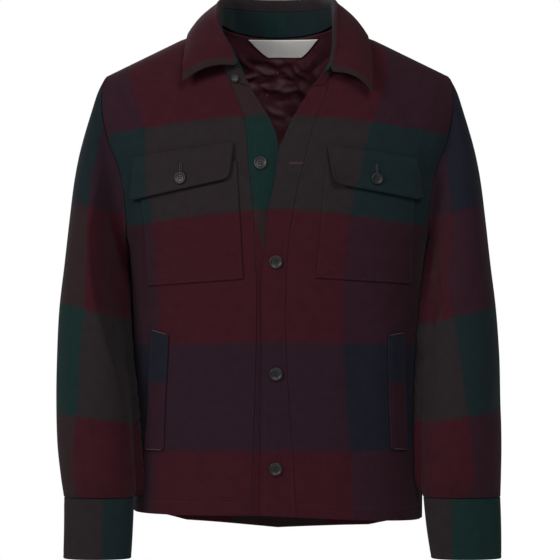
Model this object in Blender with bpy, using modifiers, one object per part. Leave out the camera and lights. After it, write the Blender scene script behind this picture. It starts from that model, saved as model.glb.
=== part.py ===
"""Shirt jacket in checked wool, worn and hollow, standing in the pose of its wearer.

The origin is the middle of the neck base. +Z is up, the fronts face -Y and the
wearer's left is +X. All sizes below are millimetres; meshes are made in metres.
"""

import math

import bmesh
import bpy
import numpy as np

MM = 0.001
COLLECTION = "shacket"

# Cloth and seams
CLOTH = 2.5
LINING = 1.5
SEAM = 0.3
HALF_SEAM = SEAM / 2

# Body: the section is a superellipse, wider and squarer than an ellipse.
# Columns: height, half width, front depth, back depth
ROUNDNESS = 2.3
BODY = (
    (-720, 203.0, 125, 115),
    (-665, 203.5, 127, 114),
    (-560, 204.5, 130, 110),
    (-450, 205.5, 132, 106),
    (-350, 206.5, 133, 110),
    (-320, 208.5, 133, 113),
    (-298, 211.0, 132, 116),
    (-270, 222.0, 131, 119),
    (-240, 230.0, 129, 122),
    (-187, 238.0, 123, 125),
    (-150, 250.0, 115, 125),
    (-108, 261.0, 103, 121),
    (-85, 263.0, 96, 117),
    (-55, 262.0, 87, 109),
    (-20, 262.0, 81, 97),
    (5, 262.0, 79, 84),
    (30, 262.0, 78, 78),
)

# Shoulder line, from the neck to the tip of the shoulder, and how fast the body closes to it.
# Columns: distance from the middle, height
SHOULDER = ((80, 16), (137, -4), (242, -55))
NECK_HALF = 80
NECK_SLOPE = 0.6
CLOSING = 100
CLOSING_LEAST = 0.02
SHOULDER_BLEND = 8
BACK_NECK = 5
BACK_NECK_POWER = 2.5
SLOPE_STEP = 0.1

# Hem heights across the garment, from the wearer's right to the left.
# Columns: x, height
HEM_HALF = 204
HEM_LEVEL = -660
HEM_FRONT = ((-204, -670), (-24, -668), (40, -671), (204, -681))
HEM_BACK = ((-204, -670), (-133, -692), (0, -705), (133, -699), (204, -681))

# Rows of the panels above the underarm: the armhole, and where each row meets the front
# seam, the back middle and the free edges of the two plackets
ARM_COLUMNS = ("arm_height", "arm_half_width", "seam_height", "back_height", "right_edge", "left_edge")
ARMHOLE = (
    (-298, 211.0, -298, -298, -298, -298),
    (-285, 211.6, -283, -283, -287, -286),
    (-262, 212.0, -256, -254, -266, -265),
    (-228, 214.5, -216, -212, -234, -232),
    (-187, 223.0, -172, -164, -196, -193),
    (-150, 237.5, -128, -118, -160, -160),
    (-116, 245.5, -90, -80, -122, -119),
    (-90, 248.0, -57, -48, None, None),
    (-72, 247.3, -34, -22, None, None),
    (-61, 245.0, -9, -4, None, None),
    (-55, 242.0, 16, BACK_NECK, None, None),
)

# Rows of the panels below the underarm, as shares of the way up from the hem
LOWER_ROWS = (0.0, 0.08, 0.21, 0.35, 0.49, 0.63, 0.76, 0.89)

# Seams between fronts and plackets, and the free edges of the plackets.
# Columns: height, x
SEAM_RIGHT = ((-720, -36.5), (-213, -36.5), (-172, -41), (-128, -44), (-90, -57), (-57, -71.5),
              (-34, -77.0), (-9, -79.5), (16, -80))
SEAM_LEFT = ((-720, 27.5), (-220, 27.5), (-172, 39), (-128, 51), (-90, 66), (-57, 74.5),
             (-34, 78.5), (-9, 79.5), (16, 80))
EDGE_RIGHT = ((-720, 11.5), (-300, 11.0), (-230, 8), (-190, 5), (-162, 2.1), (-144, -1.4), (-109, -15.9),
              (-83.5, -31), (-77, -37))
EDGE_LEFT = ((-720, -24), (-536, -22.7), (-437, -21.3), (-338, -21.3), (-298, -17.2), (-249, -13.1),
             (-213, -4.9), (-190, -2.5), (-164, 2.1), (-147, 9.0), (-124, 18.6), (-102, 31.1), (-81, 43.1),
             (-76, 47))
PLACKET_SHARES = (0.0, 0.26, 0.6, 1.0)
PLACKET_TOP = (2.0, 1.5, 1.0, 0.0)
UNDERLAP = 3.2
UNDERLAP_RAMP = 12
OVERLAP_LIFT = 1.0

# Panel columns, counted from the side seam to the middle
FRONT_COLUMNS = 12
BACK_NECK_X = (80, 58, 36, 17, 0)
BACK_SHARES = (0.0, 0.1, 0.21, 0.33, 0.45, 0.56) + tuple(1 - x / 242 for x in BACK_NECK_X)

# Collar stations from the front end to the back middle.
# Columns: neck seam x and z, fold x, y and z, leaf edge x, y and z
COLLAR_RIGHT = (
    (-37.0, -77.0, -53.6, -91, -43, -131.2, -100, -69.2),
    (-57.0, -70.0, -61.5, -85, -26, -131.5, -87, -48),
    (-71.5, -57.0, -70.5, -77, -9, -130.5, -70, -32),
    (-77.0, -34.0, -78.0, -62, 7, -129.0, -49, -15),
    (-79.5, -9.0, -80.0, -41, 28, -127.0, -26, -1),
    (-80.0, 16.0, -77.5, 2, 50, -122.0, 10, 6),
    (-58.0, 9.9, -62.0, 46, 57.0, -92.0, 68, 1),
    (-36.0, 6.5, -39.0, 64, 57.5, -58.0, 91, -3),
    (-17.0, 5.2, -18.0, 71, 57.5, -27.0, 99, -5),
    (0.0, 5.0, 0.0, 73, 57.5, 0.0, 101, -6),
)
COLLAR_LEFT = (
    (47.0, -76.0, 70.5, -94, -50, 130.9, -106, -83.6),
    (64.5, -73.5, 75.0, -87, -34, 132.0, -95, -64),
    (74.5, -57.0, 77.5, -78, -13, 132.0, -77, -42),
    (78.5, -34.0, 78.0, -63, 8, 130.5, -53, -20),
    (79.5, -9.0, 78.0, -41, 28, 128.0, -26, -3),
    (80.0, 16.0, 77.0, 2, 50, 122.0, 10, 5),
    (58.0, 9.9, 62.0, 46, 57.0, 92.0, 68, 1),
    (36.0, 6.5, 39.0, 64, 57.5, 58.0, 91, -3),
    (17.0, 5.2, 18.0, 71, 57.5, 27.0, 99, -5),
    (0.0, 5.0, 0.0, 73, 57.5, 0.0, 101, -6),
)
COLLAR_STEPS = 2
STAND_SHARE = 0.72
STAND_LIFT = 1.0
COLLAR_CLOTH = 2.6
FOLD_WIDTH = 9.0
FOLD_RISE = 2.5
LEAF_BULGE = 4.0
LEAF_BOW = 6.5
LEAF_BOW_POWER = 6
LEAF_ROWS = (0.25, 0.5, 0.75, 1.0)

# Sleeve rings: the outer and the inner end of each ring, its middle and half depth along Y
ARMHOLE_GAP = 0.4
SLEEVE_COLUMNS = ("outer_x", "outer_z", "inner_x", "inner_z", "middle_y", "half_depth")
SLEEVE_TOP = (
    (242.4, -55, 211.4, -298.6, 0, 56),
    (253.0, -75, 212.0, -302, 0, 58),
    (263.0, -105, 212.2, -306, -2, 62),
    (273.5, -140, 212.2, -311, -5, 67),
    (281.5, -172, 211.8, -317, -8, 70),
    (288.0, -210, 211.0, -325, -13, 72),
    (293.6, -262, 209.6, -337, -24, 71),
)
SLEEVE_RIGHT = SLEEVE_TOP + (
    (299.2, -322, 207.0, -358, -40, 67),
    (305.3, -385, 203.0, -402, -56, 62),
    (307.8, -450, 200.8, -455, -65, 60),
    (308.6, -510, 199.8, -510, -68, 59),
    (307.2, -570, 198.6, -570, -68, 57),
    (302.6, -615, 197.4, -615, -68, 52),
    (299.6, -636, 197.6, -636, -68, 43),
    (298.0, -646, 199.6, -646, -68, 36),
)
SLEEVE_LEFT = SLEEVE_TOP + (
    (299.2, -322, 207.0, -358, -40, 67),
    (305.8, -385, 203.6, -402, -56, 62),
    (309.8, -450, 201.6, -455, -65, 60),
    (311.4, -510, 201.0, -510, -68, 59),
    (312.6, -570, 200.8, -570, -68, 57),
    (312.0, -615, 200.8, -615, -68, 52),
    (311.4, -636, 201.2, -636, -68, 43),
    (311.2, -646, 203.0, -646, -68, 36),
)
CUFF_RIGHT = (
    (297.6, -646.6, 200.0, -646.6, -68, 34.5),
    (298.0, -690, 202.0, -690, -68, 33.5),
    (299.2, -732, 204.6, -732, -68, 33),
)
CUFF_LEFT = (
    (311.0, -646.6, 203.6, -646.6, -68, 34.5),
    (312.0, -690, 208.0, -690, -68, 33.5),
    (312.0, -732, 214.2, -732, -68, 33),
)

# Largest folds of the body: x and height of both ends, width and depth. They fade out towards
# the side seams, armholes, shoulders and plackets, each over its own distance
FRONT_FOLDS = (
    (-196, -92, -184, -160, 15, 3.0),
    (-118, -372, -106, -610, 26, 2.6),
    (-176, -470, -152, -650, 20, 2.6),
    (194, -94, 184, -158, 14, 2.8),
    (120, -366, 112, -560, 24, 2.2),
    (182, -420, 168, -640, 19, 2.4),
)
BACK_FOLDS = (
    (-170, -92, -130, -270, 20, 3.6),
    (-60, -330, -78, -610, 28, 3.2),
    (-128, -300, -150, -570, 23, 2.8),
    (176, -90, 138, -260, 19, 3.2),
    (66, -300, 84, -620, 26, 3.0),
    (134, -330, 148, -550, 22, 2.6),
)
SIDE_FADE = 22
SHOULDER_FADE = 25
SEAM_FADE = 25

# Largest folds of the sleeves: distance round from the outer line, taken on a sleeve 360 mm round,
# and height of both ends, width and depth
NOMINAL_ROUND = 360
SLEEVE_RIGHT_FOLDS = (
    (118, -150, 128, -320, 16, 4.2),
    (112, -300, 132, -440, 14, 4.4),
    (128, -380, 214, -362, 16, 3.8),
    (124, -446, 206, -462, 16, 3.8),
    (92, -520, 150, -566, 15, 3.0),
    (300, -200, 316, -340, 19, 2.8),
    (226, -210, 250, -340, 17, 3.0),
    (230, -480, 300, -540, 17, 2.8),
)
SLEEVE_LEFT_FOLDS = (
    (122, -160, 134, -320, 15, 4.0),
    (138, -340, 142, -430, 14, 4.4),
    (136, -392, 214, -372, 16, 3.6),
    (132, -516, 180, -540, 16, 4.2),
    (16, -488, 70, -566, 17, 2.8),
    (302, -190, 312, -340, 19, 2.6),
    (228, -220, 246, -340, 17, 2.8),
    (226, -500, 306, -530, 17, 2.6),
)
FOLD_END = 0.3
FOLD_START_SHARE = 0.25
FOLD_WANDER = 0.5
FOLD_WAVE = 1.6
ARMHOLE_FADE = 14
SLEEVE_STEPS = 2

# Things sewn on the fronts: corner points (x, z) on the front, wearer's right and left
POCKET_RIGHT = ((-191, -198), (-56, -180), (-46.5, -342.6), (-179.3, -352.3))
POCKET_LEFT = ((67, -184), (190.5, -200), (185.9, -349.5), (52.3, -341))
FLAP_RIGHT = ((-199, -173), (-60, -154), (-65, -205), (-202, -234))
FLAP_LEFT = ((68, -158), (193, -175), (198, -233), (76, -212))
WELT_RIGHT = ((-175, -413), (-150, -420), (-158, -580), (-185, -580))
WELT_LEFT = ((152, -421), (176, -417), (182, -580), (157, -578))
TRIM_LIFT = 0.7
POCKET_CLOTH = 1.8
FLAP_CLOTH = 2.6
FLAP_LIFTS = (0.7, 4.0, 5.0, 6.4)
FLAP_DROPS = (0.0, 0.26, 0.62, 1.0)
FLAP_CORNER = 9.0
WELT_CLOTH = 2.4

# Buttons: turned discs with a raised rim, (radius share, height)
BUTTON_RADIUS = 9.2
FLAP_BUTTON_RADIUS = 8.2
NECK_BUTTON_RADIUS = 5.6
BUTTON_PROFILE = ((0.0, 1.9), (0.66, 1.9), (0.76, 2.6), (0.9, 2.9), (1.0, 2.3), (1.0, 1.0), (0.82, 0.0), (0.0, 0.0))
BUTTON_SIDES = 12
BUTTON_LIFT = 0.5
FLAP_BUTTON_LIFT = 6.0
FRONT_BUTTON_COLUMNS = ("x", "z", "lift")
FRONT_BUTTONS = ((-23.4, -183.1, 0.0), (-2.1, -319.3, 0.3), (-1.8, -473.1, 1.0), (-2.4, -603.8, 1.0))
FLAP_BUTTONS = (("right", -131.4, -204.2), ("left", 134.5, -205.0))
NECK_BUTTON_STATION = 2
NECK_BUTTON_SHARE = 0.3

# Neck label: trapezoid on the lining, below the back neck seam
LABEL = ((-41, 1.5), (57, 1.5), (36, -22), (-15, -22))
LABEL_CLOTH = 1.0
LABEL_GAP = 1.4

COLOURS = {
    "wool_burgundy": (0.045, 0.009, 0.013),
    "wool_grey": (0.020, 0.018, 0.019),
    "wool_navy": (0.010, 0.014, 0.026),
    "wool_green": (0.008, 0.034, 0.028),
    "lining_plum": (0.060, 0.015, 0.024),
    "button_black": (0.014, 0.014, 0.015),
    "label_white": (0.78, 0.78, 0.76),
}


def hermite(rows, at):
    """Smooth curve through table rows, by the first column; slopes are central differences."""
    table = np.asarray(rows, float)
    order = np.argsort(table[:, 0])
    table = table[order]
    knots, values = table[:, 0], table[:, 1:]
    slopes = np.gradient(values, knots, axis=0)
    at = np.clip(np.asarray(at, float), knots[0], knots[-1])
    index = np.clip(np.searchsorted(knots, at, side="right") - 1, 0, len(knots) - 2)
    step = knots[index + 1] - knots[index]
    t = ((at - knots[index]) / step)[..., None]
    step = step[..., None]
    start, end = values[index], values[index + 1]
    return (start * (2 * t**3 - 3 * t**2 + 1) + slopes[index] * step * (t**3 - 2 * t**2 + t)
            + end * (3 * t**2 - 2 * t**3) + slopes[index + 1] * step * (t**3 - t**2))


def line(rows, at):
    """The single value of a two-column table at a height or a width."""
    table = np.asarray(rows, float)
    table = table[np.argsort(table[:, 0])]
    return np.interp(at, table[:, 0], table[:, 1])


def unit(vectors):
    """Vectors scaled to length one."""
    return vectors / np.linalg.norm(vectors, axis=-1, keepdims=True)


def shoulder(x):
    """Height of the shoulder line at a distance from the middle; it rises on inside the neck."""
    outside = line(SHOULDER, np.abs(x))
    return outside + NECK_SLOPE * np.clip(NECK_HALF - np.abs(x), 0, None)


def closing(x, z):
    """Share of the body's depth that is left near the shoulder line, by a quarter circle."""
    share = np.clip((shoulder(x) - z) / CLOSING, 0, 1)
    return np.sqrt(1 - (1 - share) ** 2)


def body_y(x, z, side):
    """Depth of the body's outer face at (x, z); side is -1 for the front and 1 for the back."""
    width, front, back = np.moveaxis(hermite(BODY, z), -1, 0)
    depth = front if side < 0 else back
    flat = np.clip(1 - (np.abs(x) / width) ** ROUNDNESS, 0, 1) ** (1 / ROUNDNESS)
    return side * depth * flat * closing(x, z)


def body_normal(points):
    """Outward normals of the body, from the slope of its implicit form."""
    x, y, z = np.moveaxis(points, -1, 0)

    def form(x, y, z):
        width, front, back = np.moveaxis(hermite(BODY, z), -1, 0)
        depth = np.where(y < 0, front, back) * np.maximum(closing(x, z), CLOSING_LEAST)
        return (np.abs(x) / width) ** ROUNDNESS + (np.abs(y) / depth) ** ROUNDNESS

    e = SLOPE_STEP
    slope = np.stack((form(x + e, y, z) - form(x - e, y, z),
                      form(x, y + e, z) - form(x, y - e, z),
                      form(x, y, z + e) - form(x, y, z - e)), -1)
    slope = unit(slope)
    rise = (SHOULDER[1][1] - SHOULDER[2][1]) / (SHOULDER[2][0] - SHOULDER[1][0])
    top = unit(np.stack((rise * np.sign(x), 0 * x, np.ones_like(x)), -1))
    share = np.clip((shoulder(x) - z) / SHOULDER_BLEND, 0, 1)[..., None]
    return unit(slope * share + top * (1 - share))


def grid_normals(grid, closed):
    """Normals of a grid of points; closed wraps the second direction."""
    down = np.gradient(grid, axis=0)
    if closed:
        across = (np.roll(grid, -1, 1) - np.roll(grid, 1, 1)) / 2
    else:
        across = np.gradient(grid, axis=1)
    return unit(np.cross(across, down))


def fold_depth(a, b, table, around=0):
    """Sum of soft troughs along wandering lines, negative inwards; around wraps the first axis."""
    total = np.zeros_like(a)
    for start_a, start_b, end_a, end_b, width, depth in table:
        line_a, line_b = end_a - start_a, end_b - start_b
        length = math.hypot(line_a, line_b)
        reach = []
        for shift in sorted({-around, 0, around}):
            from_a, from_b = a + shift - start_a, b - start_b
            along = (from_a * line_a + from_b * line_b) / length
            aside = (from_a * line_b - from_b * line_a) / length
            past = np.clip(np.maximum(-along, along - length), 0, None)
            inside = np.clip(np.minimum(along, length - along) / (FOLD_END * length), 0, 1)
            bend = width * FOLD_WANDER * np.sin(along / length * math.pi * FOLD_WAVE)
            shape = np.exp(-((aside - bend) / width) ** 2 - (past / width) ** 2)
            reach.append(shape * (FOLD_START_SHARE + (1 - FOLD_START_SHARE) * inside))
        total -= depth * np.max(reach, axis=0)
    return total


def body_edge(z):
    """Half width at the edge of the body's panels: the armhole, and the side seam under it."""
    below = [(row[0], row[1]) for row in BODY if row[0] < ARMHOLE[0][0]]
    return line(below + [(row[0], row[1]) for row in ARMHOLE], z)


def body_fold(x, z, side):
    """How far the folds move a point of the front or the back, negative inwards."""
    depth = fold_depth(x, z, FRONT_FOLDS if side < 0 else BACK_FOLDS)
    fade = np.clip((body_edge(z) - np.abs(x)) / SIDE_FADE, 0, 1)
    fade = fade * np.clip(np.abs(body_y(x, z, side)) / SHOULDER_FADE, 0, 1)
    if side < 0:
        for sign, seam in ((-1, SEAM_RIGHT), (1, SEAM_LEFT)):
            outside = np.clip(sign * (x - line(seam, z)) / SEAM_FADE, 0, 1)
            fade = fade * np.where(np.sign(x) == sign, outside, 1)
    return depth * fade


def add_solid(name, outer, inner, material, closed=False):
    """Closes two matching grids of points into one solid wall with a rim all round."""
    rows, columns = outer.shape[:2]
    mesh = bmesh.new()
    layers = []
    for grid in (outer, inner):
        layers.append([[mesh.verts.new(grid[i, j] * MM) for j in range(columns)] for i in range(rows)])
    top, bottom = layers
    span = columns if closed else columns - 1
    for i in range(rows - 1):
        for j in range(span):
            k = (j + 1) % columns
            mesh.faces.new((top[i][j], top[i][k], top[i + 1][k], top[i + 1][j]))
            mesh.faces.new((bottom[i][j], bottom[i + 1][j], bottom[i + 1][k], bottom[i][k]))
    for j in range(span):
        k = (j + 1) % columns
        mesh.faces.new((top[0][k], top[0][j], bottom[0][j], bottom[0][k]))
        mesh.faces.new((top[-1][j], top[-1][k], bottom[-1][k], bottom[-1][j]))
    if not closed:
        for i in range(rows - 1):
            mesh.faces.new((top[i][0], top[i + 1][0], bottom[i + 1][0], bottom[i][0]))
            mesh.faces.new((top[i + 1][-1], top[i][-1], bottom[i][-1], bottom[i + 1][-1]))
    bmesh.ops.triangulate(mesh, faces=mesh.faces[:])
    bmesh.ops.recalc_face_normals(mesh, faces=mesh.faces[:])
    data = bpy.data.meshes.new(name)
    mesh.to_mesh(data)
    mesh.free()
    return add_object(name, data, material)


def add_object(name, data, material):
    """Places a mesh in the garment's collection with a material of its own."""
    thing = bpy.data.objects.new(name, data)
    bpy.data.collections[COLLECTION].objects.link(thing)
    data.materials.append(make_material(name, COLOURS[material], material))
    return thing


def make_material(name, colour, kind):
    """A Principled material: wool and lining are rough, buttons have a soft gloss."""
    material = bpy.data.materials.new(name)
    material.use_nodes = True
    shader = material.node_tree.nodes["Principled BSDF"]
    shader.inputs["Base Color"].default_value = (*colour, 1)
    shader.inputs["Metallic"].default_value = 0.0
    shader.inputs["Roughness"].default_value = 0.35 if kind.startswith("button") else 0.9
    return material


def panel_wall(name, grid, material, lift=0.0, cloth=CLOTH):
    """A wall on the body's form; lift moves its outer face out from the body."""
    normals = body_normal(grid)
    lift = (np.asarray(lift, float) + np.zeros(grid.shape[:2]))[..., None]
    return add_solid(name, grid + normals * lift, grid + normals * (lift - cloth), material)


def folds_of(grid, side):
    """Fold of each point of a panel's grid."""
    return body_fold(grid[..., 0], grid[..., 2], side)


def panel_rows():
    """Rows of every panel: height and half width at the side, and heights at the other ends."""
    return [dict(zip(ARM_COLUMNS, row)) for row in ARMHOLE]


def front_grid(side):
    """Points of one front, rows from hem to shoulder, columns from side seam to placket seam."""
    seam = SEAM_RIGHT if side < 0 else SEAM_LEFT
    shares = np.linspace(0, 1, FRONT_COLUMNS + 1)
    underarm = ARMHOLE[0][0]
    rows = []
    for share in LOWER_ROWS:
        side_hem = line(HEM_FRONT, side * HEM_HALF)
        middle_hem = line(HEM_FRONT, line(seam, HEM_LEVEL))
        rows.append((side_hem + (underarm - side_hem) * share, None, middle_hem + (underarm - middle_hem) * share, 0.0))
    for index, row in enumerate(panel_rows()):
        rows.append((row["arm_height"], row["arm_half_width"], row["seam_height"], index / (len(ARMHOLE) - 1)))
    grid = []
    for height, half_width, seam_height, blend in rows:
        inner = side * line(seam, seam_height)
        width = hermite(BODY, height)[0]
        start = width if half_width is None else half_width
        turn_start = math.acos(min(start / width, 1) ** (ROUNDNESS / 2))
        turn_end = math.acos((inner / width) ** (ROUNDNESS / 2))
        turns = turn_start + (turn_end - turn_start) * shares
        curved = width * np.cos(turns) ** (2 / ROUNDNESS)
        curved = inner + (curved - curved[-1]) * (start - inner) / (curved[0] - curved[-1])
        x = curved * (1 - blend) + (start + (inner - start) * shares) * blend
        z = height + (seam_height - height) * (start - x) / (start - inner)
        if blend == 1.0:
            z = line(SHOULDER, x)
        grid.append(np.stack((side * x, body_y(side * x, z, -1), z), -1))
    grid = np.array(grid)
    grid[:len(LOWER_ROWS) + 1, 0, 1] = -HALF_SEAM
    grid[-1, :, 1] = -HALF_SEAM
    return grid


def back_neck(x):
    """Height of the back neck seam, from the shoulder points down to the middle."""
    rise = SHOULDER[0][1] - BACK_NECK
    return BACK_NECK + rise * np.clip(np.abs(x) / NECK_HALF, 0, 1) ** BACK_NECK_POWER


def back_grid():
    """Points of the back, rows from hem to shoulders and neck, columns from right to left."""
    half = np.array(BACK_SHARES)
    underarm = ARMHOLE[0][0]
    rows = [(share, underarm, None, underarm, 0.0) for share in LOWER_ROWS]
    for index, row in enumerate(panel_rows()):
        rows.append((1.0, row["arm_height"], row["arm_half_width"], row["back_height"], index / (len(ARMHOLE) - 1)))
    grid = []
    for share, height, half_width, middle, blend in rows:
        sides = []
        for side in (-1, 1):
            side_height = height
            if share < 1:
                hem = line(HEM_BACK, side * HEM_HALF)
                side_height = hem + (underarm - hem) * share
            width = hermite(BODY, side_height)[0]
            start = width if half_width is None else half_width
            turn_start = math.acos(min(start / width, 1) ** (ROUNDNESS / 2))
            turns = turn_start + (math.pi / 2 - turn_start) * half
            curved = width * np.clip(np.cos(turns), 0, 1) ** (2 / ROUNDNESS)
            curved = curved * start / curved[0]
            x = curved * (1 - blend) + start * (1 - half) * blend
            if share < 1:
                hem = line(HEM_BACK, side * x)
                z = hem + (underarm - hem) * share
            else:
                z = height + (middle - height) * (start - x) / start
            if blend == 1.0:
                z = np.where(x > NECK_HALF - 0.01, line(SHOULDER, x), back_neck(x))
            sides.append(np.stack((side * x, body_y(side * x, z, 1), z), -1))
        grid.append(np.concatenate((sides[0], sides[1][-2::-1])))
    grid = np.array(grid)
    top = np.abs(grid[-1, :, 0]) > NECK_HALF - 0.01
    grid[-1, top, 1] = HALF_SEAM
    for column in (0, -1):
        grid[:len(LOWER_ROWS) + 1, column, 1] = HALF_SEAM
    return grid


def placket_grid(side):
    """Points of one placket, rows from hem to neck, columns from the seam to the free edge."""
    seam = SEAM_RIGHT if side < 0 else SEAM_LEFT
    edge = EDGE_RIGHT if side < 0 else EDGE_LEFT
    column = "right_edge" if side < 0 else "left_edge"
    underarm = ARMHOLE[0][0]
    rows = []
    for share in LOWER_ROWS:
        seam_hem = line(HEM_FRONT, line(seam, HEM_LEVEL))
        edge_hem = line(HEM_FRONT, line(edge, HEM_LEVEL))
        rows.append((seam_hem + (underarm - seam_hem) * share, edge_hem + (underarm - edge_hem) * share))
    rows += [(row["seam_height"], row[column]) for row in panel_rows() if row[column] is not None]
    shares = np.array(PLACKET_SHARES)
    stations = np.array(COLLAR_RIGHT if side < 0 else COLLAR_LEFT)
    top = np.array([np.interp(PLACKET_TOP, range(len(stations)), stations[:, axis]) for axis in (0, 1)])
    grid = []
    for seam_height, edge_height in rows:
        start = line(seam, seam_height) - side * SEAM
        end = line(edge, edge_height)
        x = start + (end - start) * shares
        z = seam_height + (edge_height - seam_height) * shares
        grid.append(np.stack((x, body_y(x, z, -1), z), -1))
    x, z = top + np.array(((-side * SEAM,), (0.0,))) * (1 - shares)
    grid.append(np.stack((x, body_y(x, z, -1), z), -1))
    return np.array(grid)


def underlap(grid):
    """How far the wearer's right placket sinks to pass under the left one."""
    left_edge = line(EDGE_LEFT, grid[..., 2])
    share = np.clip((grid[..., 0] - left_edge + UNDERLAP_RAMP) / UNDERLAP_RAMP, 0, 1)
    return -UNDERLAP * share


def overlap(grid):
    """The left placket rises towards its free edge."""
    shares = np.array(PLACKET_SHARES)
    return np.broadcast_to(OVERLAP_LIFT * shares, grid.shape[:2])


def collar_profiles():
    """Rows of points across the collar, from neck seam over the fold to the leaf's edge."""
    stations = np.array(COLLAR_RIGHT + COLLAR_LEFT[-2::-1], float)
    places = np.arange(len(stations))
    fine = np.linspace(0, len(stations) - 1, (len(stations) - 1) * COLLAR_STEPS + 1)
    smooth = hermite(np.column_stack((places, stations)), fine)
    front = np.abs(places - places[-1] / 2) > len(BACK_NECK_X) - 1
    neck_y = np.where(front, body_y(stations[:, 0], stations[:, 1], -1), body_y(stations[:, 0], stations[:, 1], 1))
    corners = np.stack((stations[:, 0], neck_y, stations[:, 1]), -1)
    neck = np.stack([np.interp(fine, places, corners[:, axis]) for axis in range(3)], -1)
    fold, edge = smooth[:, 2:5], smooth[:, 5:8]
    up = np.array((0.0, 0.0, 1.0))
    rise = unit(fold - neck)
    out = np.cross(up, np.gradient(fold, axis=0) * (1, 1, 0))
    out = unit(unit(out) + unit(np.cross(rise, np.gradient((neck + fold) / 2, axis=0))))
    foot = neck + rise * STAND_LIFT
    top = neck + (fold - neck) * STAND_SHARE
    rows = [foot, (foot + top) / 2, top, fold - up * FOLD_RISE, fold + out * FOLD_WIDTH / 2 + up * FOLD_RISE]
    start = fold + out * FOLD_WIDTH - up * FOLD_RISE
    rows.append(start)
    ends = np.abs(fine - (len(stations) - 1) / 2) / ((len(stations) - 1) / 2)
    for share in LEAF_ROWS:
        bulge = (out * LEAF_BULGE + up * LEAF_BULGE / 2) * math.sin(math.pi * share)
        bow = up * LEAF_BOW * math.sin(math.pi * share) * ends[:, None] ** LEAF_BOW_POWER
        rows.append(start + (edge - start) * share + bulge + bow)
    seam_normal = body_normal(neck)
    seam_normal = unit(seam_normal - rise * np.sum(seam_normal * rise, -1, keepdims=True))
    return np.array(rows), seam_normal


def make_collar():
    """Stand and leaf, cut from one smooth form along the seam between them."""
    rows, seam_normal = collar_profiles()
    normals = -grid_normals(rows, False)
    normals[0] = seam_normal
    outer = rows + normals * COLLAR_CLOTH / 2
    inner = rows - normals * COLLAR_CLOTH / 2
    along = unit(rows[3] - rows[1]) * SEAM / 2
    stand = slice(0, 3)
    leaf = slice(2, None)
    for name, part, sign in (("collar_stand", stand, -1), ("collar_leaf", leaf, 1)):
        a, b = outer[part].copy(), inner[part].copy()
        seam_row = -1 if sign < 0 else 0
        a[seam_row] += along * sign
        b[seam_row] += along * sign
        add_solid(name, a, b, "wool_green" if sign < 0 else "wool_burgundy")


def armhole_loop(side):
    """Armhole of one side, from the shoulder tip down the front, round and up the back."""
    rows = [(row["arm_half_width"], row["arm_height"]) for row in panel_rows()]
    x, z = np.array(rows).T
    front = np.stack((x, body_y(x, z, -1), z), -1)[::-1]
    back = np.stack((x, body_y(x, z, 1), z), -1)
    front[0, 1] = front[-1, 1] = 0.0
    loop = np.concatenate((front, back[1:-1]))
    normals = body_normal(loop)
    loop[:, 0] *= side
    normals[:, 0] *= side
    return loop, normals


def ring(row, side, turns):
    """One sleeve ring: an ellipse between its outer and inner ends, in a plane along Y."""
    row = dict(zip(SLEEVE_COLUMNS, row))
    outer = np.array((row["outer_x"], row["middle_y"], row["outer_z"]))
    inner = np.array((row["inner_x"], row["middle_y"], row["inner_z"]))
    if row["outer_z"] > SLEEVE_TOP[-1][1]:
        outer[1] /= 2
    middle, arm = (outer + inner) / 2, (outer - inner) / 2
    depth = np.array((0.0, -row["half_depth"], 0.0))
    points = middle + np.cos(turns)[:, None] * arm + np.sin(turns)[:, None] * depth
    points[:, 0] *= side
    return points


def sleeve_rings(side, rows, folds):
    """Rings of one sleeve: the first is the armhole, and its form fades into the folded ellipses."""
    loop, normals = armhole_loop(side)
    loop = loop + np.array((side * ARMHOLE_GAP, 0, 0))
    loop[len(ARMHOLE) - 1, 2] -= SEAM
    turns = np.linspace(0, 2 * math.pi, len(loop), endpoint=False)
    first = ring(rows[0], side, turns)
    places = np.arange(len(rows))
    rings = []
    for place in np.linspace(0, places[-1], places[-1] * SLEEVE_STEPS + 1):
        fade = max(0.0, 1 - place / len(SLEEVE_TOP)) ** 2
        row = hermite(np.column_stack((places, rows)), place)
        rings.append(ring(row, side, turns) + (loop - first) * fade)
    rings = np.array(rings)
    distance = np.linalg.norm(rings - rings[0], axis=-1)
    depth = fold_depth(turns / (2 * math.pi) * NOMINAL_ROUND + 0 * distance, rings[..., 2], folds, NOMINAL_ROUND)
    depth = depth * np.clip(distance / ARMHOLE_FADE, 0, 1) * np.clip((rings[..., 2] - rings[-1, 0, 2]) / ARMHOLE_FADE, 0, 1)
    return rings + grid_normals(rings, True) * (side * depth)[..., None], normals


def make_sleeve(name, side, rows, folds):
    """A sleeve tube; at the armhole its wall turns so that it keeps clear of the body's wall."""
    rings, armhole_normals = sleeve_rings(side, rows, folds)
    normals = grid_normals(rings, True) * side
    normals[-1, :, 2] = 0
    normals[-1] = unit(normals[-1])
    first = armhole_normals.copy()
    first[:, 0] = side * np.minimum(first[:, 0] * side, 0)
    normals[0] = unit(first)
    add_solid(name, rings, rings - normals * CLOTH, "wool_burgundy", closed=True)


def make_cuff(name, side, rows):
    """A cuff tube that carries on the sleeve."""
    turns = np.linspace(0, 2 * math.pi, 2 * (len(ARMHOLE) - 1), endpoint=False)
    rings = np.array([ring(row, side, turns) for row in rows])
    normals = grid_normals(rings, True) * side
    normals[..., 2] = 0
    normals = unit(normals)
    add_solid(name, rings, rings - normals * CLOTH, "wool_grey", closed=True)


def patch(corners, shares_down, columns):
    """Grid of (x, z) between four corners: top start, top end, bottom end, bottom start."""
    a, b, c, d = (np.array(corner, float) for corner in corners)
    across = np.linspace(0, 1, columns + 1)[None, :, None]
    down = np.array(shares_down)[:, None, None]
    return (a * (1 - across) + b * across) * (1 - down) + (d * (1 - across) + c * across) * down


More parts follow.
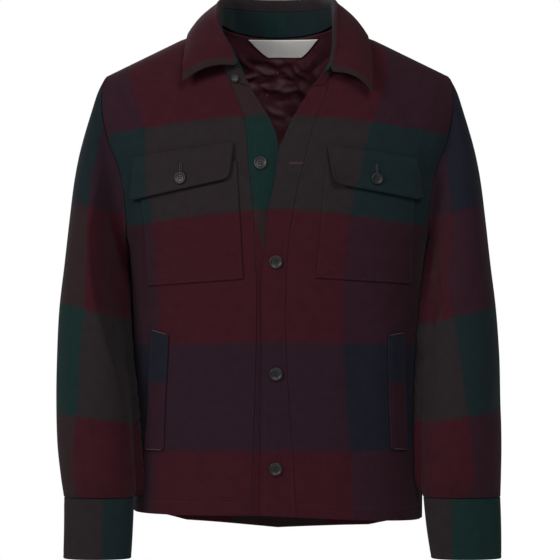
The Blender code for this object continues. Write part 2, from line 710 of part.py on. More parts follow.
def on_front(flat, lift):
    """Lays (x, z) points on the front, moved out by lift."""
    x, z = flat[..., 0], flat[..., 1]
    points = np.stack((x, body_y(x, z, -1), z), -1)
    normals = body_normal(points)
    return points + normals * (body_fold(x, z, -1) + lift)[..., None], normals


def make_pocket(name, corners):
    """A chest pocket: one thick patch on the front."""
    flat = patch(corners, np.linspace(0, 1, 6), 9)
    base, normals = on_front(flat, np.full(flat.shape[:2], TRIM_LIFT))
    add_solid(name, base + normals * POCKET_CLOTH, base, "wool_burgundy")


def make_flap(name, corners, curl):
    """A pocket flap: hung from its top edge over the pocket, with rounded lower corners."""
    columns = 9
    flat = patch(corners, FLAP_DROPS, columns)
    across = np.linspace(0, 1, columns + 1)
    width = np.linalg.norm(flat[-1, 0] - flat[-1, -1])
    from_end = np.minimum(across, 1 - across) * width
    round_off = FLAP_CORNER - np.sqrt(np.clip(FLAP_CORNER**2 - np.clip(FLAP_CORNER - from_end, 0, None) ** 2, 0, None))
    flat[-1, :, 1] += round_off
    lift = np.array(FLAP_LIFTS)[:, None] + 0 * across
    if curl:
        lift = lift + curl * np.array(FLAP_DROPS)[:, None] * np.clip(1 - across * 4, 0, 1) ** 2
    base, normals = on_front(flat, lift)
    add_solid(name, base + normals * FLAP_CLOTH, base, "wool_grey")


def make_welt(name, corners):
    """The welt of a hand pocket: a narrow upright strip on the front."""
    flat = patch(corners, np.linspace(0, 1, 8), 2)
    base, normals = on_front(flat, np.full(flat.shape[:2], TRIM_LIFT))
    add_solid(name, base + normals * WELT_CLOTH, base, "wool_navy")


def make_label():
    """The bare neck label on the lining."""
    flat = patch(LABEL, np.linspace(0, 1, 4), 6)
    x, z = flat[..., 0], flat[..., 1]
    points = np.stack((x, body_y(x, z, 1), z), -1)
    normals = body_normal(points)
    depth = CLOTH + SEAM + LINING + LABEL_GAP
    add_solid("neck_label", points - normals * depth, points - normals * (depth + LABEL_CLOTH), "label_white")


def make_button(name, point, normal, radius):
    """A turned button, its axis along a normal."""
    profile = bpy.data.meshes.new(name)
    corners = [(share * radius * MM, 0.0, height * MM) for share, height in BUTTON_PROFILE]
    profile.from_pydata(corners, [(i, i + 1) for i in range(len(corners) - 1)], [])
    button = add_object(name, profile, "button_black")
    turn = button.modifiers.new("turn", "SCREW")
    turn.angle = 2 * math.pi
    turn.steps = turn.render_steps = BUTTON_SIDES
    turn.use_merge_vertices = True
    turn.merge_threshold = 0.00001
    turn.use_smooth_shade = True
    tilt = math.atan2(math.hypot(normal[0], normal[1]), normal[2])
    button.rotation_euler = (0, tilt, math.atan2(normal[1], normal[0]))
    button.location = point * MM


def make_front_button(name, x, z, lift, radius):
    """A button on the front, moved out by lift."""
    points, normals = on_front(np.array(((x, z),)), np.array((lift + BUTTON_LIFT,)))
    make_button(name, points[0], normals[0], radius)


def make_buttons():
    """Front buttons, the first one unfastened, one on each flap and one on the collar stand."""
    for index, row in enumerate(FRONT_BUTTONS, 1):
        place = dict(zip(FRONT_BUTTON_COLUMNS, row))
        make_front_button("button_front_%d" % index, radius=BUTTON_RADIUS, **place)
    for side, x, z in FLAP_BUTTONS:
        lift = FLAP_BUTTON_LIFT + FLAP_CLOTH
        make_front_button("button_flap_" + side, x, z, lift, FLAP_BUTTON_RADIUS)
    rows, _ = collar_profiles()
    foot, middle = rows[0, NECK_BUTTON_STATION], rows[1, NECK_BUTTON_STATION]
    normal = -grid_normals(rows, False)[1, NECK_BUTTON_STATION]
    point = foot + (middle - foot) * NECK_BUTTON_SHARE + normal * (COLLAR_CLOTH / 2 + BUTTON_LIFT)
    make_button("button_neck", point, normal, NECK_BUTTON_RADIUS)


def clear_scene():
    """Removes everything from the scene and makes the garment's collection."""
    for thing in list(bpy.data.objects):
        bpy.data.objects.remove(thing)
    home = bpy.data.collections.new(COLLECTION)
    bpy.context.scene.collection.children.link(home)


def main():
    """Builds every piece of the garment."""
    clear_scene()
    for name, side in (("right", -1), ("left", 1)):
        front = front_grid(side)
        panel_wall("front_" + name, front, "wool_burgundy", lift=folds_of(front, -1))
    back = back_grid()
    folds = folds_of(back, 1)
    panel_wall("back", back, "wool_burgundy", lift=folds)
    panel_wall("back_lining", back[1:], "lining_plum", lift=folds[1:] - CLOTH - SEAM, cloth=LINING)
    right, left = placket_grid(-1), placket_grid(1)
    panel_wall("placket_right", right, "wool_green", lift=underlap(right))
    panel_wall("placket_left", left, "wool_burgundy", lift=overlap(left))
    make_collar()
    make_sleeve("sleeve_right", -1, SLEEVE_RIGHT, SLEEVE_RIGHT_FOLDS)
    make_sleeve("sleeve_left", 1, SLEEVE_LEFT, SLEEVE_LEFT_FOLDS)
    make_cuff("cuff_right", -1, CUFF_RIGHT)
    make_cuff("cuff_left", 1, CUFF_LEFT)
    make_pocket("chest_pocket_right", POCKET_RIGHT)
    make_pocket("chest_pocket_left", POCKET_LEFT)
    make_flap("flap_right", FLAP_RIGHT, 0)
    make_flap("flap_left", FLAP_LEFT, 9)
    make_welt("welt_right", WELT_RIGHT)
    make_welt("welt_left", WELT_LEFT)
    make_label()
    make_buttons()


main()
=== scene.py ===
import math
import bmesh
import bpy
import numpy as np
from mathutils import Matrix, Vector


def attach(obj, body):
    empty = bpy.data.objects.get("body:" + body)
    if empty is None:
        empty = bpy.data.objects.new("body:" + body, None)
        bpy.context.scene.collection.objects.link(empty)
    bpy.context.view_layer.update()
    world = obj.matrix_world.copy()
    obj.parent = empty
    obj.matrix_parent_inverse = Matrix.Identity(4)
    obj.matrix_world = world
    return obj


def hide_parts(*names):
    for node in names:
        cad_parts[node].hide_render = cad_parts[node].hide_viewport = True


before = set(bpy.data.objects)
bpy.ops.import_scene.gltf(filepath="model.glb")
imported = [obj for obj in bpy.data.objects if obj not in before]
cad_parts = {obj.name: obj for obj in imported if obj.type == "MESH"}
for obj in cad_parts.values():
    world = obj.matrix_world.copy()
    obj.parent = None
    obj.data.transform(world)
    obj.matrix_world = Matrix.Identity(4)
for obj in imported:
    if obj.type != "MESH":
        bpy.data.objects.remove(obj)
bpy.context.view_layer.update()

mm = 0.001
roundTurns = np.linspace(0, math.tau, 8, endpoint=False)[None]      # turns round a thread


# curves, normals and walls that every piece uses

def smoothCurve(rows, at):
    # cubic curve through table rows: position by the first column, slope by its neighbours
    table = np.asarray(rows, float)
    table = table[np.argsort(table[:, 0])]
    knots, values = table[:, 0], table[:, 1:]
    slopes = np.gradient(values, knots, axis=0)
    at = np.clip(np.asarray(at, float), knots[0], knots[-1])
    index = np.clip(np.searchsorted(knots, at, side="right") - 1, 0, len(knots) - 2)
    step = (knots[index + 1] - knots[index])[..., None]
    t = (at - knots[index])[..., None] / step
    return (values[index] * (2 * t**3 - 3 * t**2 + 1) + slopes[index] * step * (t**3 - 2 * t**2 + t)
            + values[index + 1] * (3 * t**2 - 2 * t**3) + slopes[index + 1] * step * (t**3 - t**2))


def atRows(table, fine):
    # smooth values between a table's rows, at fine row numbers
    return smoothCurve(np.column_stack((np.arange(len(table)), table)), fine)


def straightCurve(rows, at):
    # straight lines between table rows of two columns
    table = np.asarray(rows, float)
    table = table[np.argsort(table[:, 0])]
    return np.interp(at, table[:, 0], table[:, 1])


def unit(vectors):
    # each vector over its length
    return vectors / np.maximum(np.linalg.norm(vectors, axis=-1, keepdims=True), 1e-12)


def gridNormals(grid, closed=False, like=None):
    # cross product of the steps across and down the grid, turned to the side of the normals in like
    down = np.gradient(grid, axis=0)
    across = (np.roll(grid, -1, 1) - np.roll(grid, 1, 1)) / 2 if closed else np.gradient(grid, axis=1)
    normals = unit(np.cross(across, down))
    return normals if like is None else normals * np.sign(np.sum(normals * like))


def spread(count, length, start=True, end=True, near=(0, .35, .9, 1.7, 2.8, 4.2, 6)):
    # shares from 0 to 1, even in the middle and close together at finished edges
    even, close = np.linspace(0, 1, count + 1), np.array(near) / length
    low = close if start else np.array([0.0])
    high = 1 - close if end else np.array([1.0])
    middle = even[(even > low.max() + .4 / count) & (even < high.min() - .4 / count)]
    return np.unique(np.concatenate((low, middle, high)))


def arcs(grid, axis=0):
    # distance travelled along one axis of a grid, from 0
    steps = np.linalg.norm(np.diff(grid, axis=axis), axis=-1)
    return np.cumsum(np.insert(steps, 0, 0, axis), axis)


def closeUp(rings):
    # rings with their first column once more at the end
    return np.concatenate((rings, rings[:, :1]), 1)


def edgeDistance(grid, top=True, bottom=True, start=True, end=True):
    # distance in millimetres of each point from the nearest finished edge, along the grid's lines
    down, across = arcs(grid), arcs(grid, 1)
    sides = ((top, down), (bottom, down[-1:] - down), (start, across), (end, across[:, -1:] - across))
    return np.min([distance for wanted, distance in sides if wanted], axis=0)


def rounded(distance, thickness, radius, groove=None, least=.15):
    # half thickness of the cloth: a quarter circle at a finished edge, a dip along a line of stitches
    share = np.clip(distance / radius, 0, 1)
    half = thickness / 2 * np.maximum(np.sqrt(1 - (1 - share) ** 2), least)
    if groove:
        half = half - groove[1] * np.exp(-((distance - groove[0]) / 1.3) ** 2)
    return half[..., None]


def addWall(name, outer, inner, uv, material, closed=False):
    # two matching grids of points as one closed wall; uv has one more column than a closed grid
    rows, columns = outer.shape[:2]
    last = columns if closed else columns - 1
    i, j = (a.ravel() for a in np.meshgrid(np.arange(rows - 1), np.arange(last), indexing="ij"))
    skin = np.stack((np.stack((i, j), -1), np.stack((i, j + 1), -1),
                     np.stack((i + 1, j + 1), -1), np.stack((i + 1, j), -1)), 1)
    corners = [np.insert(skin, 2, 0, 2), np.insert(skin[:, ::-1], 2, 1, 2)]

    def rim(a, b):
        corners.append(np.stack((np.insert(b, 2, 0, 1), np.insert(a, 2, 0, 1),
                                 np.insert(a, 2, 1, 1), np.insert(b, 2, 1, 1)), 1))
    across, down = np.arange(last), np.arange(rows - 1)
    for row, turn in ((0, False), (rows - 1, True)):
        a, b = (np.stack((np.full(last, row), across + k), -1) for k in (0, 1))
        rim(*((b, a) if turn else (a, b)))
    if not closed:
        for column, turn in ((0, True), (columns - 1, False)):
            a, b = (np.stack((down + k, np.full(rows - 1, column)), -1) for k in (0, 1))
            rim(*((b, a) if turn else (a, b)))
    corners = np.concatenate(corners)
    points = np.concatenate((outer.reshape(-1, 3), inner.reshape(-1, 3))) * mm
    faces = corners[..., 2] * rows * columns + corners[..., 0] * columns + corners[..., 1] % columns
    p = points[faces]
    volume = sum(np.einsum("ij,ij->i", p[:, 0], np.cross(p[:, k], p[:, k + 1])).sum() for k in (1, 2))
    if volume < 0:
        faces, corners = faces[:, ::-1], corners[:, ::-1]
    mesh = bpy.data.meshes.new(name)
    mesh.from_pydata(points.tolist(), [], faces.tolist())
    flat = uv[corners[..., 0].ravel(), corners[..., 1].ravel()] * mm
    mesh.uv_layers.new(name="flatCut").data.foreach_set("uv", flat.ravel())
    mesh.polygons.foreach_set("use_smooth", np.ones(len(faces), bool))
    return place(name, mesh, material)


def place(name, mesh, material):
    # an object at the origin for a finished mesh
    piece = bpy.data.objects.new(name, mesh)
    bpy.context.scene.collection.objects.link(piece)
    mesh.materials.append(material)
    return piece


def cloth(piece, node, uv, slot="wool", restsOn=()):
    # every piece of cloth stands for its solid and rides on the garment
    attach(piece, "root")
    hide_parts(node)


def addCloth(name, node, middle, normals, halfWall, uv, material, closed=False, cut=None, **sheet):
    # cloth on both sides of a middle surface: middle + normal * half and middle - normal * half
    piece = addWall(name, middle + normals * halfWall, middle - normals * halfWall, uv, material, closed)
    cloth(piece, node, uv if cut is None else cut, **sheet)


# materials

def linear(hexColour):
    # sRGB hex to linear RGBA
    parts = [int(hexColour[k:k + 2], 16) / 255 for k in (1, 3, 5)]
    return tuple(c / 12.92 if c <= .04045 else ((c + .055) / 1.055) ** 2.4 for c in parts) + (1.0,)


def addNode(material, kind, settings=None, links=None, feeds=None):
    # settings go to sockets by name or number, to a ramp's stops, or else to the node itself; links
    # come from a socket or a node's first output; feeds is the Principled input that it goes to
    tree = material.node_tree
    node = tree.nodes.new("ShaderNode" + kind)
    for key, value in (settings or {}).items():
        if key == "stops":
            for stop, (position, colour) in zip(node.color_ramp.elements, value):
                stop.position, stop.color = position, linear(colour)
        elif isinstance(key, int) or key in node.inputs:
            node.inputs[key].default_value = value
        else:
            setattr(node, key, value)
    for key, source in (links or {}).items():
        tree.links.new(getattr(source, "outputs", (source,))[0], node.inputs[key])
    if feeds:
        tree.links.new(node.outputs[0], tree.nodes["Principled BSDF"].inputs[feeds])
    return node


def newMaterial(name, shader):
    # a Principled material with these constants
    material = bpy.data.materials.new(name)
    material.use_nodes = True
    for key, value in shader.items():
        material.node_tree.nodes["Principled BSDF"].inputs[key].default_value = value
    return material


woolLook = {
    "red": "#331019", "green": "#102523", "navy": "#171822",
    "twillPitch": 2.6,      # real twill is 1.2 mm: drawn coarser so that it shows
    "fray": 13.0, "frayScale": 420.0,       # the nap carries each colour over the border of the check
    "yarnSize": 1.5, "nap": 16.0, "weftShare": .57,
}


def brushedWool(name, warp, weft, weftAxis=1):
    # brushed wool blend, woven as a twill: warp and weft each run in broad bands, so a block shows
    # the mix of two yarns; the nap blurs the threads and gives a soft, uneven, matt surface
    look = woolLook
    wool = newMaterial(name, {"Roughness": .95, "Specular IOR Level": .1, "Sheen Weight": .03,
                              "Sheen Roughness": .5, "IOR": 1.5})

    def bands(socket, table):
        # one colour from each start up to the next
        edges = [edge * mm for edge, _ in table[1:]]
        low, high = min(edges, default=0) - .05, max(edges, default=0) + .05
        share = addNode(wool, "MapRange", {1: low, 2: high}, {0: socket})
        ramp = addNode(wool, "ValToRGB", {}, {0: share})
        stops = ramp.color_ramp
        stops.interpolation = "CONSTANT"
        stops.elements.remove(stops.elements[1])
        stops.elements[0].color = linear(look[table[0][1]])
        for edge, (_, colour) in zip(edges, table[1:]):
            stop = stops.elements.new((edge + look["fray"] * mm / 2 - low) / (high - low))
            stop.color = linear(look[colour])
        return ramp
    uv = addNode(wool, "UVMap", {"uv_map": "flatCut"})
    wander = addNode(wool, "TexNoise", {"Scale": look["frayScale"], "Detail": 2.0}, {"Vector": uv})
    shift = addNode(wool, "VectorMath", {"operation": "SCALE", "Scale": look["fray"] * mm},
                    {0: wander.outputs["Color"]})
    cut = addNode(wool, "VectorMath", {"operation": "ADD"}, {0: uv, 1: shift})      # borders fray
    axes = addNode(wool, "SeparateXYZ", {}, {0: cut})
    warpColour, weftColour = bands(axes, warp), bands(axes.outputs[weftAxis], weft)
    flat = addNode(wool, "SeparateXYZ", {}, {0: uv})
    run = addNode(wool, "Math", {"operation": "ADD"}, {0: flat, 1: flat.outputs[1]})
    turn = addNode(wool, "Math", {"operation": "MULTIPLY", 1: math.tau / look["twillPitch"] / mm}, {0: run})
    twill = addNode(wool, "Math", {"operation": "SINE"}, {0: turn})
    yarn = addNode(wool, "TexNoise", {"Scale": 1 / look["yarnSize"] / mm, "Detail": 3.0, "Roughness": .65},
                   {"Vector": uv})
    nap = addNode(wool, "TexNoise", {"Scale": 1 / look["nap"] / mm, "Detail": 5.0, "Roughness": .6},
                  {"Vector": uv})
    mixed = addNode(wool, "Math", {"operation": "MULTIPLY_ADD", 1: .05, 2: look["weftShare"]}, {0: twill})
    picked = addNode(wool, "Math", {"operation": "MULTIPLY_ADD", 1: .5, 2: -.25}, {0: yarn})
    factor = addNode(wool, "Math", {"operation": "ADD"}, {0: mixed, 1: picked})
    weave = addNode(wool, "Mix", {"data_type": "RGBA"}, {0: factor, 6: warpColour, 7: weftColour})
    tone = addNode(wool, "Math", {"operation": "MULTIPLY_ADD", 1: .55, 2: .5}, {0: nap})
    grain = addNode(wool, "Math", {"operation": "MULTIPLY_ADD", 1: .5}, {0: yarn, 2: tone})
    addNode(wool, "HueSaturation", {}, {"Value": grain, "Color": weave.outputs[2]}, feeds="Base Color")
    relief = addNode(wool, "Math", {"operation": "MULTIPLY_ADD", 1: .3}, {0: twill, 2: yarn})
    addNode(wool, "Bump", {"Strength": .45, "Distance": .0009}, {"Height": relief}, feeds="Normal")
    return wool


def quiltedTaffeta(name):
    # polyester taffeta lining, plain woven and calendered: smooth, with a broad soft sheen
    taffeta = newMaterial(name, {"Roughness": .58, "Specular IOR Level": .22, "Sheen Weight": .05,
                                 "Sheen Roughness": .3, "IOR": 1.5})
    uv = addNode(taffeta, "UVMap", {"uv_map": "flatCut"})
    ribs = addNode(taffeta, "Mapping", {"Scale": (1, 9, 1)}, {0: uv})
    slub = addNode(taffeta, "TexNoise", {"Scale": 160.0, "Detail": 4.0}, {"Vector": ribs})
    addNode(taffeta, "ValToRGB", {"stops": ((.3, "#3a1821"), (.7, "#49202b"))}, {0: slub}, feeds="Base Color")
    addNode(taffeta, "Bump", {"Strength": .15, "Distance": .0004}, {"Height": slub}, feeds="Normal")
    return taffeta


def plainFinish(name, light, dark, size, shader):
    # a finish of one colour with soft mottling: size is that of the mottling in millimetres
    finish = newMaterial(name, {"IOR": 1.5, **shader})
    where = addNode(finish, "TexCoord").outputs["Object"]
    mottling = addNode(finish, "TexNoise", {"Scale": 1 / size / mm, "Detail": 4.0}, {"Vector": where})
    addNode(finish, "ValToRGB", {"stops": ((.35, dark), (.65, light))}, {0: mottling}, feeds="Base Color")
    addNode(finish, "Bump", {"Strength": .3, "Distance": .0001}, {"Height": mottling}, feeds="Normal")
    return finish


# body form: the section is a superellipse, closed over the shoulders by a quarter circle

body = {
    "roundness": 2.3, "closing": 100, "neckHalf": 80, "neckSlope": .6, "backNeck": 5, "cloth": 2.5,
    "seam": .04, "frontSideTop": -296, "backSideTop": -297,
    "hemHalf": 204, "hemLevel": -660, "hemStitch": 18, "seamSpan": (-720, 16),
    # height and how far the check hangs down towards the sides
    "drape": ((-700, 3), (-579, 4), (-431, 6), (-250, 25), (-120, 21), (20, 18)),
    # height, half width, front depth, back depth
    "form": (
        (-720, 203, 125, 115), (-665, 203.5, 127, 114), (-560, 204.5, 130, 110), (-450, 205.5, 132, 106),
        (-350, 206.5, 133, 110), (-320, 208.5, 133, 113), (-298, 211, 132, 116), (-270, 222, 131, 119),
        (-240, 230, 129, 122), (-187, 238, 123, 125), (-150, 250, 115, 125), (-108, 261, 103, 121),
        (-85, 263, 96, 117), (-55, 262, 87, 109), (-20, 262, 81, 97), (5, 262, 79, 84), (30, 262, 78, 78)),
    # distance from the middle, height
    "shoulder": ((80, 16), (137, -4), (242, -55)),
    # x, height
    "hemFront": ((-204, -670), (-24, -668), (40, -671), (204, -681)),
    "hemBack": ((-204, -670), (-133, -692), (0, -705), (133, -699), (204, -681)),
    # height and half width at the armhole, heights at the front seam, back middle, right and left edges
    "armhole": (
        (-298, 211, -298, -298, -298, -298), (-285, 211.6, -283, -283, -287, -286),
        (-262, 212, -256, -254, -266, -265), (-228, 214.5, -216, -212, -234, -232),
        (-187, 223, -172, -164, -196, -193), (-150, 237.5, -128, -118, -160, -160),
        (-116, 245.5, -90, -80, -122, -119), (-90, 248, -57, -48, 0, 0), (-72, 247.3, -34, -22, 0, 0),
        (-61, 245, -9, -4, 0, 0), (-55, 242, 16, 5, 0, 0)),
    "lowerRows": (0, .08, .21, .35, .49, .63, .76, .89),    # shares of the way from hem to armhole
    "placketRows": 7,       # rows of the armhole's table that the plackets share
    # height, x
    "seamRight": (
        (-720, -36.5), (-213, -36.5), (-172, -41), (-128, -44), (-90, -57), (-57, -71.5), (-34, -77),
        (-9, -79.5), (16, -80)),
    "seamLeft": (
        (-720, 27.5), (-220, 27.5), (-172, 39), (-128, 51), (-90, 66), (-57, 74.5), (-34, 78.5),
        (-9, 79.5), (16, 80)),
    "edgeRight": (
        (-720, 11.5), (-300, 11), (-230, 8), (-190, 5), (-162, 2.1), (-144, -1.4), (-109, -15.9),
        (-83.5, -31), (-77, -37)),
    "edgeLeft": (
        (-720, -24), (-536, -22.7), (-437, -21.3), (-338, -21.3), (-298, -17.2), (-249, -13.1),
        (-213, -4.9), (-190, -2.5), (-164, 2.1), (-147, 9), (-124, 18.6), (-102, 31.1), (-81, 43.1),
        (-76, 47)),
    # creases: x and height of both ends, width, depth; a negative depth is a ridge. The largest come
    # first, as on the solids. They fade towards side seams, armholes, shoulders and plackets
    "frontCreases": (
        (-196, -92, -184, -160, 15, 3), (-118, -372, -106, -610, 26, 2.6),
        (-176, -470, -152, -650, 20, 2.6), (194, -94, 184, -158, 14, 2.8), (120, -366, 112, -560, 24, 2.2),
        (182, -420, 168, -640, 19, 2.4), (-216, -128, -196, -236, 9, 1.8), (-150, -46, -190, -92, 15, 1.6),
        (-108, -56, -94, -116, 18, -1.3), (-84, -392, -70, -520, 13, -1.2),
        (-128, -600, -134, -676, 11, -1.3), (-92, -575, -86, -676, 10, 1.2),
        (-190, -262, -168, -306, 12, 1.5), (-196, -372, -150, -392, 13, 1.6),
        (216, -128, 198, -230, 8, 1.6), (142, -44, 186, -88, 14, 1.5), (102, -60, 92, -126, 17, -1.3),
        (84, -400, 78, -620, 15, -1.2), (190, -366, 150, -392, 12, 1.6), (146, -590, 150, -678, 10, -1.2),
        (60, -380, 64, -470, 13, 1), (104, -585, 98, -676, 10, 1.2), (-66, -600, -60, -676, 9, -.9),
        (58, -610, 56, -676, 9, .9)),
    "backCreases": (
        (-170, -92, -130, -270, 20, 3.6), (-60, -330, -78, -610, 28, 3.2),
        (-128, -300, -150, -570, 23, 2.8), (176, -90, 138, -260, 19, 3.2), (66, -300, 84, -620, 26, 3),
        (134, -330, 148, -550, 22, 2.6), (-196, -130, -172, -300, 12, -1.8),
        (-98, -70, -60, -230, 24, 1.6), (-20, -360, -14, -560, 18, -1.6),
        (-104, -520, -96, -695, 14, -1.8), (-40, -560, -46, -700, 13, 1.6),
        (202, -140, 176, -290, 12, -1.6), (92, -80, 70, -240, 22, 1.5), (24, -400, 30, -640, 20, 1.4),
        (112, -540, 120, -695, 13, -1.7), (-30, -20, 40, -42, 14, 1), (60, -640, 54, -700, 11, 1.3),
        (-186, -400, -140, -430, 14, 1.6), (190, -350, 150, -392, 13, 1.6), (-30, -150, 44, -166, 16, 1.2)),
    "sideFade": 22, "topFade": 25, "seamFade": 25,
}


def shoulderLine(x):
    # height of the shoulder over |x|, straight between the table's points and on towards the middle
    inside = np.clip(body["neckHalf"] - np.abs(x), 0, None)
    return straightCurve(body["shoulder"], np.abs(x)) + body["neckSlope"] * inside


def closingShare(x, z):
    # a quarter circle: sqrt(1 - (1 - s)^2), where s rises from 0 at the shoulder line to 1
    share = np.clip((shoulderLine(x) - z) / body["closing"], 0, 1)
    return np.sqrt(1 - (1 - share) ** 2)


def bodyDepth(x, z, side):
    # y = depth * (1 - (|x| / width)^n)^(1/n) * closing; side is -1 in front and 1 behind
    width, front, back = np.moveaxis(smoothCurve(body["form"], z), -1, 0)
    n = body["roundness"]
    flat = np.clip(1 - (np.abs(x) / width) ** n, 0, 1) ** (1 / n)
    return side * (front if side < 0 else back) * flat * closingShare(x, z)


def bodyNormal(points):
    # slope of (|x| / width)^n + (|y| / depth)^n, turned to the shoulder's normal at the shoulder line
    x, y, z = np.moveaxis(points, -1, 0)
    n = body["roundness"]

    def form(x, y, z):
        width, front, back = np.moveaxis(smoothCurve(body["form"], z), -1, 0)
        depth = np.where(y < 0, front, back) * np.maximum(closingShare(x, z), .02)
        return (np.abs(x) / width) ** n + (np.abs(y) / depth) ** n
    e = .1
    slope = unit(np.stack((form(x + e, y, z) - form(x - e, y, z), form(x, y + e, z) - form(x, y - e, z),
                           form(x, y, z + e) - form(x, y, z - e)), -1))
    top = unit(np.stack((.486 * np.sign(x), 0 * x, np.ones_like(x)), -1))
    share = np.clip((shoulderLine(x) - z) / 8, 0, 1)[..., None]
    return unit(slope * share + top * (1 - share))


def creaseDepth(a, b, table, around=None):
    # sum of soft troughs: each falls off with the square of the distance from its line and at its ends
    total = np.zeros_like(a)
    for startA, startB, endA, endB, width, depth in table:
        lineA, lineB = endA - startA, endB - startB
        length = math.hypot(lineA, lineB)
        reach = []
        for shift in ((0,) if around is None else (-around, 0, around)):
            alongLine = ((a + shift - startA) * lineA + (b - startB) * lineB) / length
            aside = ((a + shift - startA) * lineB - (b - startB) * lineA) / length
            past = np.clip(np.maximum(-alongLine, alongLine - length), 0, None)
            fade = np.clip(np.minimum(alongLine, length - alongLine) / (.3 * length), 0, 1)
            bend = width * .5 * np.sin(alongLine / length * math.pi * 1.6)      # creases wander
            reach.append(np.exp(-((aside - bend) / width) ** 2 - (past / width) ** 2) * (.25 + .75 * fade))
        total -= depth * np.max(reach, axis=0)
    return total


def bodyCreases(x, z, side):
    # depth of the creases, faded by the distance to the edge of the panel and to the placket seam
    below = [row[:2] for row in body["form"] if row[0] < body["armhole"][0][0]]
    edge = straightCurve(below + [row[:2] for row in body["armhole"]], z)
    fade = np.clip((edge - np.abs(x)) / body["sideFade"], 0, 1)
    fade = fade * np.clip(np.abs(bodyDepth(x, z, side)) / body["topFade"], 0, 1)
    if side < 0:
        right, left = (straightCurve(body[seam], z) for seam in ("seamRight", "seamLeft"))
        inner = np.where(x < 0, right - x, x - left)
        fade = fade * np.clip(inner / body["seamFade"], 0, 1)
    return creaseDepth(x, z, body["frontCreases" if side < 0 else "backCreases"]) * fade


def onBody(x, z, lift=0.0, side=-1):
    # points of the creased body, moved out by lift, and their normals; side is -1 in front, 1 behind
    points = np.stack((x, bodyDepth(x, z, side), z), -1)
    normals = bodyNormal(points)
    return points + normals * (bodyCreases(x, z, side) + lift)[..., None], normals


def bodyFlat(x, z, side, start):
    # flat cut of the body: u is the arc from start to x, v the height with the drape of the check
    share = np.linspace(0, 1, 25)[:, None, None]
    xs = start + (x - start) * share
    ys = bodyDepth(xs, z + 0 * xs, side)
    u = np.sqrt(np.diff(xs, axis=0) ** 2 + np.diff(ys, axis=0) ** 2).sum(0) * np.sign(x - start)
    drop = straightCurve(body["drape"], z)
    return np.stack((u, z + drop * (np.abs(x) / 215) ** 1.6), -1)


def frontFlat(x, z, side):
    # flat cut of a front and what lies on it: u is the arc from the placket seam outwards
    seam = smoothCurve(body["seamRight" if side < 0 else "seamLeft"], np.clip(z, *body["seamSpan"]))
    return bodyFlat(x, z, -1, seam[..., 0]) * (side, 1)


def bodyRows():
    # fine row numbers from hem to shoulder, close together at the hem and over the shoulder
    count = len(body["lowerRows"]) + len(body["armhole"]) - 1
    hem = np.array((0, .35, .9, 1.7, 2.8, 4.2, 6, 9, 12, 14.5, 16, 17, 18, 19, 20, 21.5, 24)) / 30
    rest = np.arange(1, count - 1, .2)
    top = count - (1 - np.linspace(0, 1, 11)) ** 2
    return np.concatenate((hem, rest, top))


def frontGrid(side):
    # rows from hem to shoulder, columns from side seam to placket seam
    seam = body["seamRight" if side < 0 else "seamLeft"]
    arm = np.array(body["armhole"], float)
    shares = np.array(body["lowerRows"])
    underarm = arm[0, 0]
    ends = (side * body["hemHalf"], straightCurve(seam, body["hemLevel"]))
    sideHem, seamHem = (straightCurve(body["hemFront"], end) for end in ends)
    low = np.stack((sideHem + (underarm - sideHem) * shares, 0 * shares,
                    seamHem + (underarm - seamHem) * shares, 0 * shares), -1)
    low[:, 1] = smoothCurve(body["form"], low[:, 0])[:, 0]
    high = np.column_stack((arm[:, 0], arm[:, 1], arm[:, 2], np.linspace(0, 1, len(arm))))
    table = np.vstack((low, high))
    fine = bodyRows()
    height, start, seamZ, blend = atRows(table, fine).T[:, :, None]
    across = spread(44, 240)[None]
    inner = side * smoothCurve(seam, seamZ)[..., 0]
    width = smoothCurve(body["form"], height)[..., 0]
    n = body["roundness"]
    first, last = (np.arccos(np.clip(v / width, 0, 1) ** (n / 2)) for v in (start, inner))
    turns = first + (last - first) * across
    curved = width * np.cos(turns) ** (2 / n)
    curved = inner + (curved - curved[:, -1:]) * (start - inner) / (curved[:, :1] - curved[:, -1:])
    blend = np.clip(blend, 0, 1)
    x = curved * (1 - blend) + (start + (inner - start) * across) * blend
    z = height + (seamZ - height) * (start - x) / (start - inner)
    toTop = np.clip(fine - (len(table) - 2), 0, 1)[:, None]
    z = z + (shoulderLine(x) - z) * toTop ** 2
    return side * x, z


